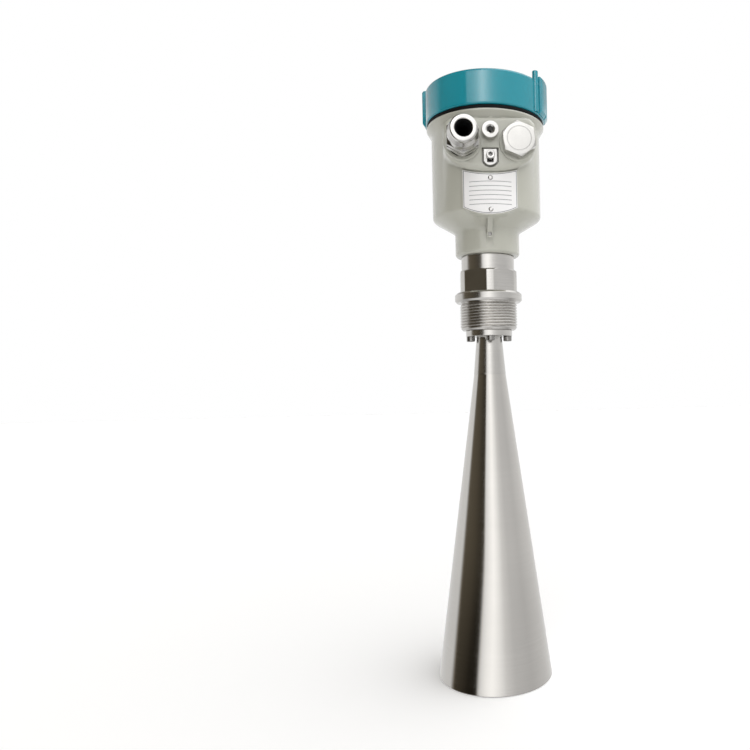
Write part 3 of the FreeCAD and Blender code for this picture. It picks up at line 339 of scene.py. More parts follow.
looks = {
    # in the finishes below, the share and reach that darken inner corners and sockets are painted shade
    "housingPaint": (paintFinish, {
        "colour": (0.468, 0.467, 0.406), "vary": 0.02, "cloud": 55.0, "peel": 1500.0, "rough": 0.32,
        "shine": 0.5, "ior": 1.5, "coat": 0.8, "coatIor": 1.5, "coatRough": 0.07, "bump": 0.03,
        "grime": 0.28, "grimeReach": 2.6}),
    "lidPaint": (paintFinish, {
        "colour": (0.003, 0.262, 0.330), "vary": 0.02, "cloud": 50.0, "peel": 1100.0, "rough": 0.13,
        "shine": 0.5, "ior": 1.45, "coat": 1.0, "coatIor": 1.42, "coatRough": 0.03, "bump": 0.010}),
    "turnedSteel": (metalFinish, {
        "colour": (0.575, 0.56, 0.535), "vary": 0.05, "lines": (9.0, 9.0, 1500.0), "cloud": 60.0,
        "rough": 0.20, "roughVary": 0.05, "bump": 0.06}),
    "hornSteel": (metalFinish, {
        "colour": (0.578, 0.560, 0.532), "vary": 0.02, "lines": (7.0, 7.0, 900.0), "cloud": 30.0,
        "rough": 0.135, "roughVary": 0.03, "bump": 0.03}),
    "platedBrass": (metalFinish, {
        "colour": (0.575, 0.565, 0.545), "vary": 0.04, "lines": (20.0, 1200.0, 20.0), "cloud": 120.0,
        "rough": 0.19, "roughVary": 0.04, "bump": 0.03, "grime": 0.75, "grimeReach": 5.0}),
    "screwSteel": (metalFinish, {
        "colour": (0.56, 0.55, 0.535), "vary": 0.06, "lines": (300.0, 300.0, 300.0), "cloud": 200.0,
        "rough": 0.24, "roughVary": 0.06, "bump": 0.05, "grime": 0.75, "grimeReach": 3.0}),
    "flangeScrew": (metalFinish, {
        "colour": (0.30, 0.292, 0.28), "vary": 0.06, "lines": (300.0, 300.0, 300.0), "cloud": 200.0,
        "rough": 0.28, "roughVary": 0.06, "bump": 0.05}),
    "plateMetal": (paintFinish, {
        "colour": (0.87, 0.86, 0.855), "vary": 0.015, "cloud": 90.0, "peel": 2600.0, "rough": 0.48,
        "shine": 0.5, "ior": 1.6, "coat": 0.0, "coatIor": 1.5, "coatRough": 0.2, "bump": 0.06}),
    # dark ink for the printed ruled lines, also used for the painted shadow line round the plate's edge
    "plateInk": (dullFinish, {
        "colour": (0.10, 0.10, 0.11), "vary": 0.1, "grain": 3000.0, "rough": 0.6, "shine": 0.3,
        "bump": 0.05}),
    "sealRubber": (dullFinish, {
        "colour": (0.006, 0.006, 0.0065), "vary": 0.2, "grain": 1600.0, "rough": 0.62, "shine": 0.14,
        "bump": 0.12}),
    "feedPlastic": (dullFinish, {
        "colour": (0.84, 0.84, 0.82), "vary": 0.02, "grain": 700.0, "rough": 0.45, "shine": 0.5,
        "bump": 0.05}),
    "potting": (dullFinish, {
        "colour": (0.06, 0.06, 0.065), "vary": 0.12, "grain": 260.0, "rough": 0.42, "shine": 0.5,
        "bump": 0.10}),
    "terminalPlastic": (dullFinish, {
        "colour": (0.05, 0.22, 0.10), "vary": 0.05, "grain": 1200.0, "rough": 0.5, "shine": 0.45,
        "bump": 0.08}),
    "adjusterPlastic": (dullFinish, {
        "colour": (0.20, 0.21, 0.22), "vary": 0.05, "grain": 1800.0, "rough": 0.52, "shine": 0.45,
        "bump": 0.14}),
    "screenGlass": (dullFinish, {
        "colour": (0.30, 0.36, 0.28), "vary": 0.03, "grain": 2500.0, "rough": 0.16, "shine": 0.6,
        "bump": 0.01}),
    "keyPlastic": (dullFinish, {
        "colour": (0.50, 0.52, 0.53), "vary": 0.03, "grain": 1500.0, "rough": 0.5, "shine": 0.45,
        "bump": 0.10}),
}
finishes = {name: make(name, s) for name, (make, s) in looks.items()}
record = frame["record"]
nodeSlot = {piece["node"]: piece["material_slot"] for piece in record["subparts"]}
bodyOf = {node: body for body, group in record["behaviour"]["bodies"].items() for node in group}


def finishOf(slotName):
    # finishes are named after the slots: lid_paint is lidPaint
    first, *rest = slotName.split("_")
    return finishes[first + "".join(word.capitalize() for word in rest)]


for name, part in nodes.items():
    part.data.materials.clear()
    part.data.materials.append(finishOf(nodeSlot[name]))
print("finishes made:", len(finishes))

# mesh helpers, in mm unless said
meshing = {
    "gap": 2e-7,              # metres, as the next two
    "solidGap": 2e-6,
    "solidThin": 1e-6,
    "flatWithin": 0.4,        # degrees between facets taken as one face
    "onAxis": 1e-6,
    "roundFrom": 29.99,       # half a flat's angle, beyond which a hexagon has sharp corners
    "crease": 32.0,
    "edgeSteps": 3,
}


def rounding(corners, steps=5):
    # corners: (radius, height, rounding, trim) in mm, the last two optional; the loop is closed
    path = []
    count = len(corners)
    for index, corner in enumerate(corners):
        here = Vector(corner[:2])
        size = corner[2] if len(corner) > 2 else 0.0
        trim = corner[3] if len(corner) > 3 else None
        if size <= 0.0:
            path.append((here.x, here.y, trim))
            continue
        back = (Vector(corners[index - 1][:2]) - here).normalized()
        on = (Vector(corners[(index + 1) % count][:2]) - here).normalized()
        half = back.angle(on) / 2
        centre = here + (back + on).normalized() * (size / math.sin(half))
        start = here + back * (size / math.tan(half)) - centre
        end = here + on * (size / math.tan(half)) - centre
        first = math.atan2(start.y, start.x)
        sweep = (math.atan2(end.y, end.x) - first + math.pi) % (2 * math.pi) - math.pi
        for step in range(steps + 1):
            angle = first + sweep * step / steps
            path.append((centre.x + size * math.cos(angle), centre.y + size * math.sin(angle), trim))
    return path


def divided(path, longest):
    # more rows where a row is trimmed to a hexagon or thread
    dense = []
    count = len(path)
    for index, point in enumerate(path):
        nxt = path[(index + 1) % count]
        dense.append(point)
        if point[2] is None or nxt[2] is not point[2]:
            continue
        along, up = nxt[0] - point[0], nxt[1] - point[1]
        extra = int(math.hypot(along, up) / longest)
        for step in range(1, extra + 1):
            share = step / (extra + 1)
            dense.append((point[0] + along * share, point[1] + up * share, point[2]))
    return dense


def flatsOf(flats):
    # trims a radius to a hexagon whose flats face 0, 60, 120 degrees
    def trim(radius, height, angle):
        off = (angle + 30.0) % 60.0 - 30.0
        return min(radius, flats / 2 / math.cos(math.radians(off)))
    return trim


def evenAngles(count):
    return [360.0 * step / count for step in range(count)]


def hexAngles(flats, barRadius, perFlat, perCorner=1):
    # columns that fall on the edges between the flats and the round corners
    edge = math.degrees(math.acos(min(1.0, flats / 2 / barRadius)))
    edge = min(edge, 30.0)
    angles = []
    for side in range(6):
        middle = 60.0 * side
        angles += [middle - edge + 2 * edge * step / perFlat for step in range(perFlat)]
        if edge < meshing["roundFrom"]:
            gap = 60.0 - 2 * edge
            angles += [middle + edge + gap * step / perCorner for step in range(perCorner)]
    return angles


def latheMesh(name, path, angles):
    # turns a closed (radius, height, trim) path about Z
    verts = []
    for radius, height, trim in path:
        for angle in angles:
            r = radius if trim is None else trim(radius, height, angle)
            turn = math.radians(angle)
            verts.append((r * math.cos(turn) * mm, r * math.sin(turn) * mm, height * mm))
    rows = len(path)
    bare = [row for row in range(rows) if max(path[row][0], path[(row + 1) % rows][0]) <= meshing["onAxis"]]
    return meshOf(name, verts, gridFaces(rows, len(angles), skipped=bare))


def gridFaces(rows, columns, openRows=0, openColumns=0, skipped=()):
    # quads between neighbouring rows and columns, closed both ways unless said
    faces = []
    for row in range(rows - openRows):
        if row in skipped:
            continue
        here, there = row * columns, (row + 1) % rows * columns
        for column in range(columns - openColumns):
            side = (column + 1) % columns
            faces.append((here + column, here + side, there + side, there + column))
    return faces


def meshOf(name, verts, faces):
    mesh = bpy.data.meshes.new(name)
    mesh.from_pydata(verts, [], faces)
    return cleaned(mesh)


def cleaned(mesh):
    gap = meshing["gap"]
    work = bmesh.new()
    work.from_mesh(mesh)
    bmesh.ops.remove_doubles(work, verts=work.verts[:], dist=gap)
    bmesh.ops.dissolve_degenerate(work, edges=work.edges[:], dist=gap)
    loose = [vert for vert in work.verts if not vert.link_faces]
    bmesh.ops.delete(work, geom=loose, context="VERTS")
    bmesh.ops.recalc_face_normals(work, faces=work.faces[:])
    work.to_mesh(mesh)
    work.free()
    return mesh


def merged(name, node):
    # a joined copy of a solid's mesh, with flat faces made whole
    mesh = nodes[node].data.copy()
    mesh.name = name
    mesh.materials.clear()
    work = bmesh.new()
    work.from_mesh(mesh)
    bmesh.ops.remove_doubles(work, verts=work.verts[:], dist=meshing["solidGap"])
    bmesh.ops.dissolve_degenerate(work, edges=work.edges[:], dist=meshing["solidThin"])
    bmesh.ops.dissolve_limit(work, angle_limit=math.radians(meshing["flatWithin"]),
                             verts=work.verts[:], edges=work.edges[:])
    work.to_mesh(mesh)
    work.free()
    return mesh


def settle(piece):
    # the modifiers' result becomes the piece's own mesh
    bpy.context.view_layer.update()
    graph = bpy.context.evaluated_depsgraph_get()
    mesh = bpy.data.meshes.new_from_object(piece.evaluated_get(graph))
    mesh.name = piece.name
    piece.modifiers.clear()
    piece.data = mesh


def addPiece(name, mesh, body, slotName, stands=(), finish="", edge=0.0, crease=meshing["crease"],
             edgeFrom=meshing["crease"]):
    piece = bpy.data.objects.new(name, mesh)
    scene.collection.objects.link(piece)
    mesh.materials.clear()
    mesh.materials.append(finishes[finish] if finish else finishOf(slotName))
    mesh.shade_smooth()
    mesh.set_sharp_from_angle(angle=math.radians(crease))
    if edge > 0:
        bevel = piece.modifiers.new("edge", "BEVEL")
        bevel.limit_method = "ANGLE"
        bevel.angle_limit = math.radians(edgeFrom)
        bevel.width = edge * mm
        bevel.segments = meshing["edgeSteps"]
        bevel.use_clamp_overlap = False
        bevel.miter_outer = "MITER_ARC"
    weigh = piece.modifiers.new("weigh", "WEIGHTED_NORMAL")
    weigh.keep_sharp = True
    settle(piece)
    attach(piece, body)
    if stands:
        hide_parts(*stands)


def placed(mesh, x, y, z, turn):
    mesh.transform(Matrix.Translation(Vector((x, y, z)) * mm) @ turn)
    return mesh


outward = spun(90.0, "X")      # built along +Z, then pointing out of the front
inward = spun(-90.0, "X")

# process fitting
fitting = {
    "bore": 8.15, "threadRadius": 23.9, "threadEnd": -23.1, "threadPitch": 2.309, "threadDepth": 1.35,
    "relief": 1.0, "rootRound": 0.012, "leadIn": ((2.3, 0.0), (0.9, 1.3), (0.0, 3.6)), "threadTop": -0.05,
    "collarRadius": 28.0, "collarTop": 8.0, "collarChamfer": 1.6, "faceRound": 0.35, "rimRound": 0.5,
    "hexFlats": 46.0, "hexBar": 25.0, "hexFoot": 0.25, "hexTop": 26.0,
    "hexChamfer": ((0.0, 1.2), (1.2, 0.15), (1.6, 0.0)), "perFlat": 20, "perCorner": 10, "rowHigh": 0.1,
    "spigotRadius": 22.0, "step": 0.2, "seat": 38.0, "seatRound": 0.3, "stemRadius": 19.0, "stemTop": 61.8,
    "stemEnd": 75.8, "stemEndRadius": 15.0, "stemRound": 0.5, "crease": 42.0,
}


def makeFitting(s):
    def thread(radius, height, angle):
        turn = height / s["threadPitch"] - angle / 360.0
        lobe = math.sqrt(math.cos(math.pi * turn) ** 2 + s["rootRound"])
        crest = s["threadRadius"] - s["threadDepth"] * (1.0 - lobe)
        start = max(0.0, -height - s["relief"]) + s["threadRadius"] - s["threadDepth"]
        return min(radius, crest, start)

    flats = flatsOf(s["hexFlats"])
    chamfer = s["collarChamfer"]
    leadIn = [(s["threadRadius"] - into, s["threadEnd"] + up, 0.0, thread) for into, up in s["leadIn"]]
    hexEnd = [(s["hexBar"] - into, s["hexTop"] - down, 0.0, flats) for into, down in s["hexChamfer"]]
    path = rounding([
        (s["bore"], s["threadEnd"]),
        *leadIn,
        (s["threadRadius"], s["threadTop"], 0.0, thread),
        (s["threadRadius"] + s["step"], 0.0),
        (s["collarRadius"] - chamfer, 0.0, s["faceRound"]),
        (s["collarRadius"], chamfer, s["rimRound"]),
        (s["collarRadius"], s["collarTop"] - chamfer, s["rimRound"]),
        (s["collarRadius"] - chamfer, s["collarTop"], s["faceRound"]),
        (s["hexBar"] + s["hexFoot"], s["collarTop"]),
        (s["hexBar"], s["collarTop"] + s["hexFoot"], 0.0, flats),
        *hexEnd,
        (s["spigotRadius"] + s["step"], s["hexTop"]),
        (s["spigotRadius"], s["hexTop"] + s["step"]),
        (s["spigotRadius"], s["seat"], s["seatRound"]),
        (s["stemRadius"], s["seat"]),
        (s["stemRadius"], s["stemTop"]),
        (s["stemEndRadius"], s["stemTop"]),
        (s["stemEndRadius"], s["stemEnd"], s["stemRound"]),
        (s["bore"], s["stemEnd"]),
    ])
    angles = hexAngles(s["hexFlats"], s["hexBar"], s["perFlat"], s["perCorner"])
    mesh = latheMesh("processFitting", divided(path, s["rowHigh"]), angles)
    addPiece("processFitting", mesh, "process_connection", "turned_steel", ["process_fitting"],
             crease=s["crease"])


makeFitting(fitting)
print("fitting turned")

# horn: flanged throat, rolled cone and the feed cone inside
horn = {
    "flangeRadius": 19.3, "flangeTop": -23.1, "flangeLow": -28.1, "flangeRound": 0.5, "throatTop": 10.55,
    "throatRound": 1.2, "throatEnd": 13.25, "throatLow": -59.5, "throatColumns": 144, "bore": 5.0,
    "weldHigh": 0.07, "weldHalf": 1.3, "weldOver": 0.4, "weldUnder": 0.5, "weldRound": 0.3,
    "mouth": -309.0, "mouthRadius": 47.0, "mouthRound": (0.55, 0.4), "wall": 1.5,
    "outerRows": (160.0, 80.0), "innerRow": 120.0, "coneColumns": 240,
    "feedRadius": 4.85, "feedTip": 0.5, "feedEnd": -57.9, "feedRound": (0.2, 0.3), "feedColumns": 72,
}


def makeHorn(s):
    path = rounding([
        (s["bore"], s["flangeTop"]),
        (s["flangeRadius"], s["flangeTop"], s["flangeRound"]),
        (s["flangeRadius"], s["flangeLow"], s["flangeRound"]),
        (s["throatTop"], s["flangeLow"], s["throatRound"]),
        (s["throatEnd"], s["throatLow"] + s["weldHalf"]),
        (s["throatEnd"] + s["weldHigh"], s["throatLow"] + s["weldOver"], s["weldRound"]),
        (s["throatEnd"], s["throatLow"]),
        (s["throatEnd"] - s["wall"], s["throatLow"]),
        (s["bore"], s["flangeLow"]),
    ])
    mesh = latheMesh("hornThroat", path, evenAngles(s["throatColumns"]))
    addPiece("hornThroat", mesh, "process_connection", "turned_steel", ["horn_throat"])
    slope = (s["mouthRadius"] - s["throatEnd"]) / (s["throatLow"] - s["mouth"])
    inner = s["mouthRadius"] - s["wall"]
    path = rounding([
        (s["throatEnd"] - s["wall"], s["throatLow"]),
        (s["throatEnd"], s["throatLow"]),
        (s["throatEnd"] + s["weldHigh"], s["throatLow"] - s["weldUnder"], s["weldRound"]),
        (s["throatEnd"] + slope * s["weldHalf"], s["throatLow"] - s["weldHalf"]),
        *[(s["mouthRadius"] - slope * up, s["mouth"] + up) for up in s["outerRows"]],
        (s["mouthRadius"], s["mouth"], s["mouthRound"][0]),
        (inner, s["mouth"], s["mouthRound"][1]),
        (inner - slope * s["innerRow"], s["mouth"] + s["innerRow"]),
    ])
    mesh = latheMesh("hornCone", path, evenAngles(s["coneColumns"]))
    addPiece("hornCone", mesh, "process_connection", "horn_steel", ["horn_cone"])
    path = rounding([
        (0.0, s["flangeTop"]),
        (s["feedRadius"], s["flangeTop"], s["feedRound"][0]),
        (s["feedRadius"], s["flangeLow"], s["feedRound"][1]),
        (s["feedTip"], s["feedEnd"], s["feedRound"][1]),
        (0.0, s["feedEnd"]),
    ])
    mesh = latheMesh("feedCone", path, evenAngles(s["feedColumns"]))
    addPiece("feedCone", mesh, "process_connection", "feed_plastic", ["feed_cone"])


makeHorn(horn)
print("horn rolled")


# repeated fasteners, set out by geometry nodes
def repeatTree(name, ring):
    tree = bpy.data.node_groups.new(name, "GeometryNodeTree")
    tree.interface.new_socket("Geometry", in_out="INPUT", socket_type="NodeSocketGeometry")
    kinds = [("Count", "NodeSocketInt"), ("Start", "NodeSocketVector"), ("Finish", "NodeSocketMaterial")]
    kinds.append(("Radius", "NodeSocketFloat") if ring else ("Step", "NodeSocketVector"))
    named = {}
    for label, kind in kinds:
        named[label] = tree.interface.new_socket(label, in_out="INPUT", socket_type=kind).identifier
    tree.interface.new_socket("Geometry", in_out="OUTPUT", socket_type="NodeSocketGeometry")
    given = tree.nodes.new("NodeGroupInput").outputs
    result = tree.nodes.new("NodeGroupOutput")

    def step(kind, values):
        return feed(tree, tree.nodes.new("GeometryNode" + kind), values).outputs[0]

    if ring:
        circle = step("MeshCircle", {"Vertices": given["Count"], "Radius": given["Radius"]})
        spots = step("Transform", {"Geometry": circle, "Translation": given["Start"]})
    else:
        spots = step("MeshLine", {
            "Count": given["Count"], "Start Location": given["Start"], "Offset": given["Step"]})
    spread = step("InstanceOnPoints", {"Points": spots, "Instance": given["Geometry"]})
    real = step("RealizeInstances", {"Geometry": spread})
    dressed = step("SetMaterial", {"Geometry": real, "Material": given["Finish"]})
    feed(tree, result, {"Geometry": dressed})
    return tree, named


ringTree, ringNames = repeatTree("onARing", True)
rowTree, rowNames = repeatTree("inARow", False)


def repeated(name, one, finish, ring, values):
    # one mesh set out on a ring or in a row, as a plain mesh
    one.shade_smooth()
    one.set_sharp_from_angle(angle=math.radians(meshing["crease"]))
    holder = bpy.data.objects.new(name, one)
    scene.collection.objects.link(holder)
    modifier = holder.modifiers.new("set out", "NODES")
    modifier.node_group = ringTree if ring else rowTree
    named = ringNames if ring else rowNames
    for label, value in values.items():
        modifier[named[label]] = value
    modifier[named["Finish"]] = finishes[finish]
    settle(holder)
    mesh = holder.data
    bpy.data.objects.remove(holder)
    return mesh


screwForm = {
    "floorShare": 0.42, "roundShare": 0.16,      # of the head's height
    "socketWiden": 0.15, "socketLead": 0.12, "seatRound": 0.15, "tipRound": 0.3, "steps": 4, "perFlat": 8,
}


def socketScrew(s, f):
    # head below zero, shank above, as the solids have it
    hexHole = flatsOf(s["socket"])
    deep = -s["headHigh"] * f["floorShare"]
    corner = s["socket"] / math.sqrt(3)
    path = rounding([
        (0.0, deep),
        (corner, deep, 0.0, hexHole),
        (corner, -s["headHigh"] + f["socketLead"], 0.0, hexHole),
        (corner + f["socketWiden"], -s["headHigh"]),
        (s["headRadius"], -s["headHigh"], s["headHigh"] * f["roundShare"]),
        (s["headRadius"], 0.0, f["seatRound"]),
        (s["shankRadius"], 0.0),
        (s["shankRadius"], s["grip"], f["tipRound"]),
        (0.0, s["grip"]),
    ], f["steps"])
    return latheMesh("socketScrew", path, hexAngles(s["socket"], corner, f["perFlat"]))


hornScrew = {
    "headRadius": 3.5, "headHigh": 4.0, "socket": 3.0, "shankRadius": 2.0, "grip": 9.0, "ringRadius": 15.4,
    "seatHeight": -28.1, "count": 4,
}
moduleScrew = dict(hornScrew, grip=38.3, ringRadius=31.0, seatHeight=104.0, count=2)


def setHornScrews(s):
    mesh = repeated("hornScrews", socketScrew(s, screwForm), "flangeScrew", True, {
        "Count": s["count"], "Radius": s["ringRadius"] * mm, "Start": (0.0, 0.0, s["seatHeight"] * mm)})
    addPiece("hornScrews", mesh, "process_connection", "screw_steel", ["horn_screws"], finish="flangeScrew")


def setModuleScrews(s):
    one = socketScrew(s, screwForm)
    one.transform(spun(180.0, "X"))
    mesh = repeated("moduleScrews", one, "screwSteel", False, {
        "Count": s["count"], "Start": (-s["ringRadius"] * mm, 0.0, s["seatHeight"] * mm),
        "Step": (2 * s["ringRadius"] * mm, 0.0, 0.0)})
    addPiece("moduleScrews", mesh, "housing", "screw_steel", ["module_screws"])


setHornScrews(hornScrew)
setModuleScrews(moduleScrew)
print("screws set out")

# cast housing, its collar turned down for a thread, and the locking screw in the foot of its rib
casting = {
    "collarFoot": 147.2, "collarLow": 148.0, "collarTop": 164.5, "collarRadius": 45.5, "relief": 0.8,
    "pickUnder": 0.1, "pickInside": 1.0,
    "threadPitch": 2.0, "threadHigh": 0.7, "threadSteep": 1.6, "threadFade": 1.5, "threadLift": 0.05,
    "threadSink": 0.6, "rowHigh": 0.2, "columns": 180,
    "lockRadius": 1.6, "lockFace": 30.7, "lockLow": 19.3, "lockHeight": 51.7, "lockSocket": 1.5,
    "lockDeep": 0.7, "lockRound": (0.3, 0.35), "lockPerFlat": 8,
}


def makeHousing(s):
    mesh = merged("housingCasting", "housing")
    work = bmesh.new()
    work.from_mesh(mesh)
    for height in (s["collarFoot"], s["collarLow"]):
        bmesh.ops.bisect_plane(work, geom=work.verts[:] + work.edges[:] + work.faces[:],
                               plane_co=(0, 0, height * mm), plane_no=(0, 0, 1))
    for vert in work.verts:
        reach = math.hypot(vert.co.x, vert.co.y) / mm
        onCollar = vert.co.z / mm > s["collarLow"] - s["pickUnder"]
        if onCollar and reach > s["collarRadius"] - s["pickInside"]:
            share = 1 - s["relief"] / reach
            vert.co.x *= share
            vert.co.y *= share
    work.to_mesh(mesh)
    work.free()
    addPiece("housingCasting", mesh, "housing", "housing_paint", ["housing"])


def makeCollarThread(s):
    def thread(radius, height, angle):
        turn = (height / s["threadPitch"] - angle / 360.0) % 1.0
        ridge = 1 - abs(turn * 2 - 1)
        near = min(height - s["collarLow"], s["collarTop"] - height)
        fade = max(0.0, min(1.0, near / s["threadFade"]))
        return radius + s["threadHigh"] * min(1.0, ridge * s["threadSteep"]) * fade

    root = s["collarRadius"] - s["relief"] + s["threadLift"]
    path = rounding([
        (root - s["threadSink"], s["collarLow"]),
        (root, s["collarLow"], 0.0, thread),
        (root, s["collarTop"], 0.0, thread),
        (root - s["threadSink"], s["collarTop"]),
    ])
    mesh = latheMesh("collarThread", divided(path, s["rowHigh"]), evenAngles(s["columns"]))
    addPiece("collarThread", mesh, "housing", "housing_paint")


def makeLockingScrew(s):
    hexHole = flatsOf(s["lockSocket"])
    corner = s["lockSocket"] / math.sqrt(3)
    deep = s["lockFace"] - s["lockDeep"]
    mesh = latheMesh("lockingScrew", rounding([
        (0.0, s["lockLow"]),
        (s["lockRadius"], s["lockLow"], s["lockRound"][0]),
        (s["lockRadius"], s["lockFace"], s["lockRound"][1]),
        (corner, s["lockFace"], 0.0, hexHole),
        (corner, deep, 0.0, hexHole),
        (0.0, deep),
    ]), hexAngles(s["lockSocket"], corner, s["lockPerFlat"]))
    placed(mesh, 0.0, 0.0, s["lockHeight"], outward)
    addPiece("lockingScrew", mesh, "housing", "screw_steel", ["locking_screw"], finish="flangeScrew")


makeHousing(casting)
makeCollarThread(casting)
makeLockingScrew(casting)
print("housing dressed")

# lid: turned cup with two round posts and two wide lugs
lid = {
    "radius": 49.5, "bore": 45.9, "low": 148.0, "rim": 175.6, "roof": 171.6, "rimRound": 2.2,
    "footRound": 0.8, "edgeRound": 1.5, "boreRound": 0.4, "roofChamfer": 4.0, "roofRound": 1.5,
    "steps": 6, "columns": 240, "edge": 0.45, "edgeFrom": 50.0,
    "postRadius": 2.35, "postInset": 0.2, "postRise": 5.9, "postAngle": 51.5, "postRound": (0.3, 0.7),
    "postColumns": 32,
    "lugAngle": 72.0, "lugHalf": 13.0, "lugProud": 2.7, "lugRise": 3.2, "lugRoot": 2.88,
    "lugRound": (0.5, 0.8), "lugSteps": 3, "lugColumns": 16,
    "lugGroove": 1.35, "grooveDeep": 0.95, "grooveColumns": 6, "digits": 4,
}


def lugMesh(s):
    reach = s["radius"] + s["lugProud"]
    root = s["radius"] - s["lugRoot"]
    low = s["low"] + s["footRound"]
    top = s["rim"] + s["lugRise"]
    small, large = s["lugRound"]
    path = rounding([
        (root, low),
        (s["radius"] + s["lugProud"] / 4, low, small),
        (reach, low + s["lugProud"], large),
        (reach, top - s["lugProud"] / 2, large),
        (reach - s["lugProud"] / 2, top, small),
        (root, top),
    ], s["lugSteps"])
    groove, fine, wide = s["lugGroove"], s["grooveColumns"], s["lugColumns"]
    offsets = [-s["lugHalf"] + s["lugHalf"] * 2 * step / wide for step in range(wide + 1)]
    offsets += [groove * step / fine for step in range(-fine, fine + 1) if step]
    offsets = sorted(set(round(offset, s["digits"]) for offset in offsets))
    verts = []
    for radius, height, trim in path:
        for offset in offsets:
            near = min(1.0, abs(offset) / groove)
            dip = s["grooveDeep"] * (0.5 + 0.5 * math.cos(math.pi * near)) if radius > s["radius"] else 0.0
            verts.append(Vector((math.sqrt(radius ** 2 - offset ** 2) - dip, offset, height)) * mm)
    count = len(offsets)
    rows = len(path)
    faces = gridFaces(rows, count, openColumns=1)
    faces.append([row * count for row in range(rows)])
    faces.append([row * count + count - 1 for row in range(rows)])
    return meshOf("gripLug", verts, faces)


def makeLid(s):
    cup = latheMesh("lidCup", rounding([
        (0.0, s["rim"]),
        (s["radius"], s["rim"], s["rimRound"]),
        (s["radius"], s["low"], s["edgeRound"]),
        (s["bore"], s["low"], s["boreRound"]),
        (s["bore"], s["roof"] - s["roofChamfer"], s["roofRound"]),
        (s["bore"] - s["roofChamfer"], s["roof"], s["roofRound"]),
        (0.0, s["roof"]),
    ], s["steps"]), evenAngles(s["columns"]))
    foot = s["low"] + s["footRound"]
    head = s["rim"] + s["postRise"]
    post = latheMesh("gripPost", rounding([
        (0.0, foot),
        (s["postRadius"], foot, s["postRound"][0]),
        (s["postRadius"], head, s["postRound"][1]),
        (0.0, head),
    ]), evenAngles(s["postColumns"]))
    post.transform(Matrix.Translation(((s["radius"] - s["postInset"]) * mm, 0, 0)))
    lug = lugMesh(s)
    work = bmesh.new()
    work.from_mesh(cup)
    for side in (0.0, 180.0):
        for mesh, angle in ((post, s["postAngle"]), (lug, s["lugAngle"])):
            copy = mesh.copy()
            copy.transform(spun(angle - 90.0 + side, "Z"))
            work.from_mesh(copy)
            bpy.data.meshes.remove(copy)
    mesh = bpy.data.meshes.new("lidCasting")
    work.to_mesh(mesh)
    work.free()
    addPiece("lidCasting", mesh, "lid", "lid_paint", ["lid"], edge=s["edge"], edgeFrom=s["edgeFrom"])


makeLid(lid)

lidSeal = {
    "inner": 45.65, "outer": 48.55, "low": 145.1, "high": 147.9, "innerRound": 0.5, "outerRound": 0.9,
    "columns": 180,
}


def makeLidSeal(s):
    mesh = latheMesh("lidSeal", rounding([
        (s["inner"], s["low"], s["innerRound"]),
        (s["outer"], s["low"], s["outerRound"]),
        (s["outer"], s["high"], s["outerRound"]),
        (s["inner"], s["high"], s["innerRound"]),
    ]), evenAngles(s["columns"]))
    addPiece("lidSeal", mesh, "lid_seal", "seal_rubber", ["lid_seal"])


makeLidSeal(lidSeal)
print("lid and seal made")

# cable entries: gland on the left, blanking plug on the right
entry = {
    "offset": 21.5, "face": -50.0, "height": 118.2, "flats": 24.0, "thread": 9.85, "washer": 1.0,
    "inside": -9.5, "endRound": 0.6, "chamferShare": 0.6, "perFlat": 20, "rowHigh": 0.18,
}
gland = {
    "bore": 6.9, "collar": 11.2, "collarRound": 0.3, "hexLow": 4.2, "hexTop": 9.2, "end": 19.2,
    "endChamfer": 0.6, "threadPitch": 1.5, "threadDepth": 0.75, "threadStep": 0.1, "threadStart": 0.3,
    "threadFade": 0.6,
    "nutLow": 10.2, "nutHexTop": 15.2, "nutChamfer": 1.3, "nutStep": (0.15, 0.1), "nutTop": 29.4,
    "nutRadius": 11.9, "nutRim": 20.96, "nutNose": 10.3, "noseLow": 25.8, "noseRound": (3.0, 1.2, 1.3),
    "opening": 6.4, "openingRound": 0.9, "nutBore": 10.15, "nutSeat": 2.0, "nutSteps": 8, "nutRowHigh": 0.2,
    "cable": 4.0, "slack": 0.3, "sealRound": 0.3, "sealHead": 1.85, "sealSides": (2.15, 1.7),
    "sealLip": 0.7, "lipRound": 0.1, "sealMouth": (0.5, 6.0, 8.0), "mouthRound": 0.5, "sealColumns": 96,
}
plug = {
    "top": 8.5, "footChamfer": 0.4, "faceRadius": 11.9, "faceChamfer": 0.6, "turn": 7.0,
    "ringInner": 8.8, "ringOuter": 9.5, "ringDeep": 0.18, "ringFlank": 0.12,
}


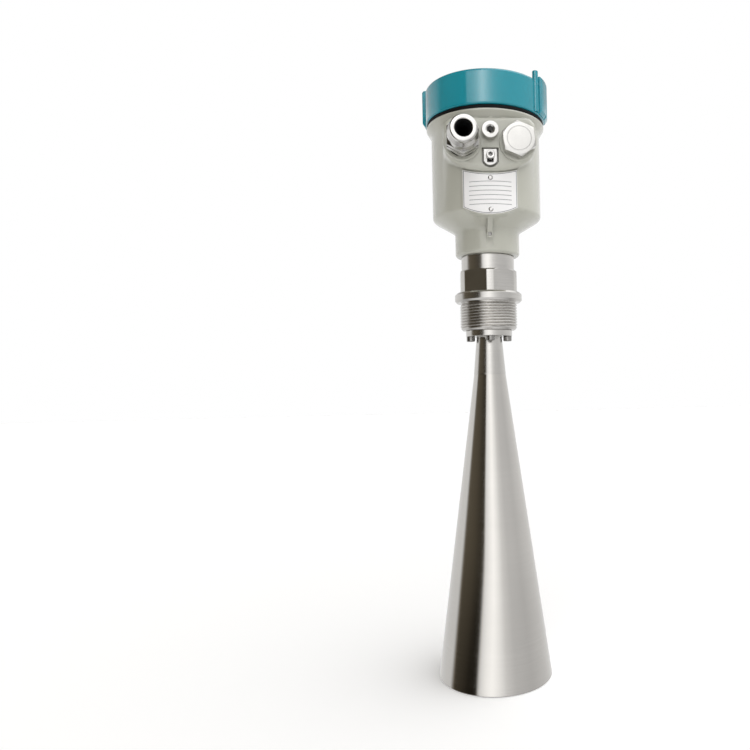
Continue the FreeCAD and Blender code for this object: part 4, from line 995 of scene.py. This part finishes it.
def makeEntries(e, g, b):
    flats = flatsOf(e["flats"])
    corner = e["flats"] / math.sqrt(3)
    chamfer = (corner - e["flats"] / 2) * e["chamferShare"]
    rise = chamfer * e["chamferShare"]
    angles = hexAngles(e["flats"], corner, e["perFlat"])

    def thread(radius, height, angle):
        turn = (height / g["threadPitch"] - angle / 360.0) % 1.0
        fade = min(1.0, max(0.0, (height - g["hexTop"] - g["threadStart"]) / g["threadFade"]))
        return radius - g["threadDepth"] * abs(turn * 2 - 1) * fade

    def atEntry(mesh, side, turn=0.0):
        return placed(mesh, side * e["offset"], e["face"], e["height"], outward @ spun(turn, "Z"))

    body = latheMesh("glandBody", divided(rounding([
        (g["bore"], e["inside"]),
        (e["thread"], e["inside"], e["endRound"]),
        (e["thread"], e["washer"]),
        (g["collar"], e["washer"], g["collarRound"]),
        (g["collar"], g["hexLow"]),
        (corner - chamfer, g["hexLow"], 0.0, flats),
        (corner, g["hexLow"] + rise, 0.0, flats),
        (corner, g["hexTop"] - rise, 0.0, flats),
        (corner - chamfer, g["hexTop"], 0.0, flats),
        (e["thread"] + g["threadStep"], g["hexTop"]),
        (e["thread"], g["hexTop"] + g["threadStep"], 0.0, thread),
        (e["thread"], g["end"] - g["endChamfer"], 0.0, thread),
        (e["thread"] - g["endChamfer"], g["end"]),
        (g["bore"], g["end"]),
    ]), e["rowHigh"]), angles)
    addPiece("glandBody", atEntry(body, -1), "housing", "plated_brass", ["gland_body"])

    nut = latheMesh("glandNut", divided(rounding([
        (g["nutBore"], g["nutLow"]),
        (corner - chamfer, g["nutLow"], 0.0, flats),
        (corner, g["nutLow"] + rise, 0.0, flats),
        (corner, g["nutHexTop"] - chamfer * g["nutChamfer"], 0.0, flats),
        (g["nutRadius"] + g["nutStep"][0], g["nutHexTop"] - g["nutStep"][1], 0.0, flats),
        (g["nutRadius"], g["nutHexTop"]),
        (g["nutRadius"], g["nutRim"], g["noseRound"][0]),
        (g["nutNose"], g["noseLow"], g["noseRound"][1]),
        (g["nutNose"], g["nutTop"], g["noseRound"][2]),
        (g["opening"], g["nutTop"], g["openingRound"]),
        (g["opening"], g["nutTop"] - g["nutSeat"]),
        (g["nutBore"], g["end"] + g["nutSeat"]),
    ], g["nutSteps"]), g["nutRowHigh"]), angles)
    addPiece("glandNut", atEntry(nut, -1), "gland_nut", "plated_brass", ["gland_nut"])

    slack, edge = g["slack"], g["sealRound"]
    low, high = (g["nutTop"] - down for down in g["sealSides"])
    widen, mouth, throat = g["sealMouth"]
    insert = latheMesh("glandSeal", rounding([
        (g["cable"], g["nutLow"], edge),
        (g["bore"] - slack, g["nutLow"], edge),
        (g["bore"] - slack, g["end"] + slack),
        (e["thread"] - slack, g["end"] + slack, edge),
        (e["thread"] - slack, g["end"] + g["sealHead"], edge),
        (g["opening"] - slack, low),
        (g["opening"] - slack, high, g["lipRound"]),
        (g["opening"] - g["sealLip"], high, g["lipRound"]),
        (g["cable"] + widen, g["nutTop"] - mouth, g["mouthRound"]),
        (g["cable"], g["nutTop"] - throat, g["mouthRound"]),
    ]), evenAngles(g["sealColumns"]))
    addPiece("glandSeal", atEntry(insert, -1), "gland_seal", "seal_rubber", ["gland_seal"])

    groove = b["top"] - b["ringDeep"]
    blank = latheMesh("blankingPlug", divided(rounding([
        (0.0, e["inside"]),
        (e["thread"], e["inside"], e["endRound"]),
        (e["thread"], e["washer"]),
        (corner - b["footChamfer"], e["washer"], 0.0, flats),
        (corner, e["washer"] + b["footChamfer"], 0.0, flats),
        (corner, b["top"] - b["faceChamfer"], 0.0, flats),
        (b["faceRadius"], b["top"], 0.0, flats),
        (b["ringOuter"], b["top"]),
        (b["ringOuter"] - b["ringFlank"], groove),
        (b["ringInner"] + b["ringFlank"], groove),
        (b["ringInner"], b["top"]),
        (0.0, b["top"]),
    ]), e["rowHigh"]), angles)
    addPiece("blankingPlug", atEntry(blank, 1, b["turn"]), "housing", "plated_brass", ["blanking_plug"])


makeEntries(entry, gland, plug)
print("gland and plug turned")

# breather between the entries, earth clamp below it
breather = {
    "face": -48.5, "height": 126.4, "washer": 0.8, "head": 6.5, "headRound": (0.25, 0.35), "top": 6.0,
    "socket": 5.0, "deep": 6.4, "lead": (0.7, 0.6), "leadRound": 0.25, "shank": 3.9, "shankEnd": -6.0,
    "shankRound": 0.4, "channel": 1.17, "perFlat": 12,
}
earth = {
    "face": -49.3, "height": 108.0, "headRadius": 3.4, "headHigh": 3.4, "socket": 3.0, "shankRadius": 1.9,
    "grip": 7.2, "clampEdge": 0.35,
}


def makeBreather(s):
    hexHole = flatsOf(s["socket"])
    corner = s["socket"] / math.sqrt(3)
    floor = s["top"] - s["deep"]
    path = rounding([
        (s["channel"], s["shankEnd"]),
        (s["shank"], s["shankEnd"], s["shankRound"]),
        (s["shank"], s["washer"]),
        (s["head"], s["washer"], s["headRound"][0]),
        (s["head"], s["top"], s["headRound"][1]),
        (corner + s["lead"][0], s["top"], s["leadRound"]),
        (corner, s["top"] - s["lead"][1], 0.0, hexHole),
        (corner, floor, 0.0, hexHole),
        (s["channel"], floor),
    ])
    mesh = latheMesh("breatherPlug", path, hexAngles(s["socket"], corner, s["perFlat"]))
    placed(mesh, 0.0, s["face"], s["height"], outward)
    addPiece("breatherPlug", mesh, "housing", "plated_brass", ["breather_plug"])


def makeEarth(s):
    addPiece("earthClamp", merged("earthClamp", "earth_clamp"), "housing", "screw_steel", ["earth_clamp"],
             edge=s["clampEdge"])
    mesh = placed(socketScrew(s, screwForm), 0.0, s["face"], s["height"], inward)
    addPiece("earthScrew", mesh, "housing", "screw_steel", ["earth_screw"])


makeBreather(breather)
makeEarth(earth)
print("breather and earth clamp set")

# nameplate: plain plate with blank ruled lines and two rivets
plate = {
    "radius": 46.2, "half": 21.3, "low": 64.0, "high": 95.2, "footArc": 40.0, "headArc": 58.0, "edge": 0.12,
    "proud": 0.03, "inkThick": 0.05, "frameInset": 0.45, "frameWide": 0.4, "arcSteps": 30,
    "lineHalf": 16.5, "lineHigh": 0.34, "lineLow": 71.5, "lineStep": 3.5, "lineCount": 6, "lineSteps": 24,
    "rivetLow": 67.4, "rivetStep": 24.4, "rivetCount": 2, "rivetColumns": 32,
    "rivet": (                # radius, height, rounding
        (0.0, -2.0), (1.2, -2.0), (1.2, 0.02), (1.9, 0.02), (1.9, 0.25, 0.15),
        (1.045, 0.7, 0.5), (0.0, 0.7),
    ),
}


def shieldLoop(s, inset):
    half = s["half"] - inset
    steps = s["arcSteps"]
    loop = []
    for side, edge, arc in ((1, s["low"] + inset, s["footArc"]), (-1, s["high"] - inset, s["headArc"])):
        for step in range(steps + 1):
            x = side * (-half + 2 * half * step / steps)
            loop.append((x, edge + arc - math.sqrt(arc ** 2 - x * x)))
    return loop


def bent(radius, turn, height):
    # a point on the curved plate
    return Vector((radius * math.sin(turn), -radius * math.cos(turn), height)) * mm


def stripMesh(name, verts, closed):
    # a strip through sections of four corners each
    count = len(verts) // 4
    last = 4 * count - 4
    faces = [] if closed else [(0, 1, 2, 3), (last + 3, last + 2, last + 1, last)]
    return meshOf(name, verts, faces + gridFaces(count, 4, openRows=0 if closed else 1))


def makePlate(s):
    addPiece("namePlate", merged("namePlate", "nameplate"), "housing", "plate_metal", ["nameplate"],
             edge=s["edge"])
    reach = s["radius"] + s["proud"]
    under = reach - s["inkThick"]
    half = math.asin(s["lineHalf"] / reach)
    verts = []
    for step in range(s["lineSteps"] + 1):
        turn = -half + 2 * half * step / s["lineSteps"]
        for r, z in ((under, 0.0), (reach, 0.0), (reach, s["lineHigh"]), (under, s["lineHigh"])):
            verts.append(bent(r, turn, z))
    mesh = repeated("plateLines", stripMesh("plateLine", verts, False), "plateInk", False, {
        "Count": s["lineCount"], "Start": (0.0, 0.0, s["lineLow"] * mm),
        "Step": (0.0, 0.0, s["lineStep"] * mm)})
    addPiece("plateLines", mesh, "housing", "plate_metal", finish="plateInk")
    # a thin dark line just inside the plate's outline: painted shadow along the plate's edge
    verts = []
    outer = shieldLoop(s, s["frameInset"])
    inner = shieldLoop(s, s["frameInset"] + s["frameWide"])
    for out, into in zip(outer, inner):
        for (x, z), r in ((out, under), (out, reach), (into, reach), (into, under)):
            verts.append(bent(r, math.asin(x / s["radius"]), z))
    mesh = stripMesh("plateFrame", verts, True)
    addPiece("plateFrame", mesh, "housing", "plate_metal", finish="plateInk")
    dome = latheMesh("plateRivet", rounding(s["rivet"]), evenAngles(s["rivetColumns"]))
    dome.transform(outward)
    mesh = repeated("plateRivets", dome, "screwSteel", False, {
        "Count": s["rivetCount"], "Start": (0.0, -s["radius"] * mm, s["rivetLow"] * mm),
        "Step": (0.0, 0.0, s["rivetStep"] * mm)})
    addPiece("plateRivets", mesh, "housing", "plate_metal", ["nameplate_rivets"], finish="screwSteel")


makePlate(plate)
print("nameplate fixed")

# inside: copies of the solids, with the edge rounding of each
inside = {
    "adjusterFrame": ("adjuster_frame", 0.0),
    "displayScreen": ("display_screen", 0.2),
    "terminalBlock": ("terminal_block", 0.3),
    "electronicsModule": ("electronics_module", 0.5),
    "keyOne": ("key_1", 0.6), "keyTwo": ("key_2", 0.6),
    "keyThree": ("key_3", 0.6), "keyFour": ("key_4", 0.6),
}
for name, (node, edge) in inside.items():
    addPiece(name, merged(name, node), bodyOf[node], nodeSlot[node], [node], edge=edge)
print("inside dressed")
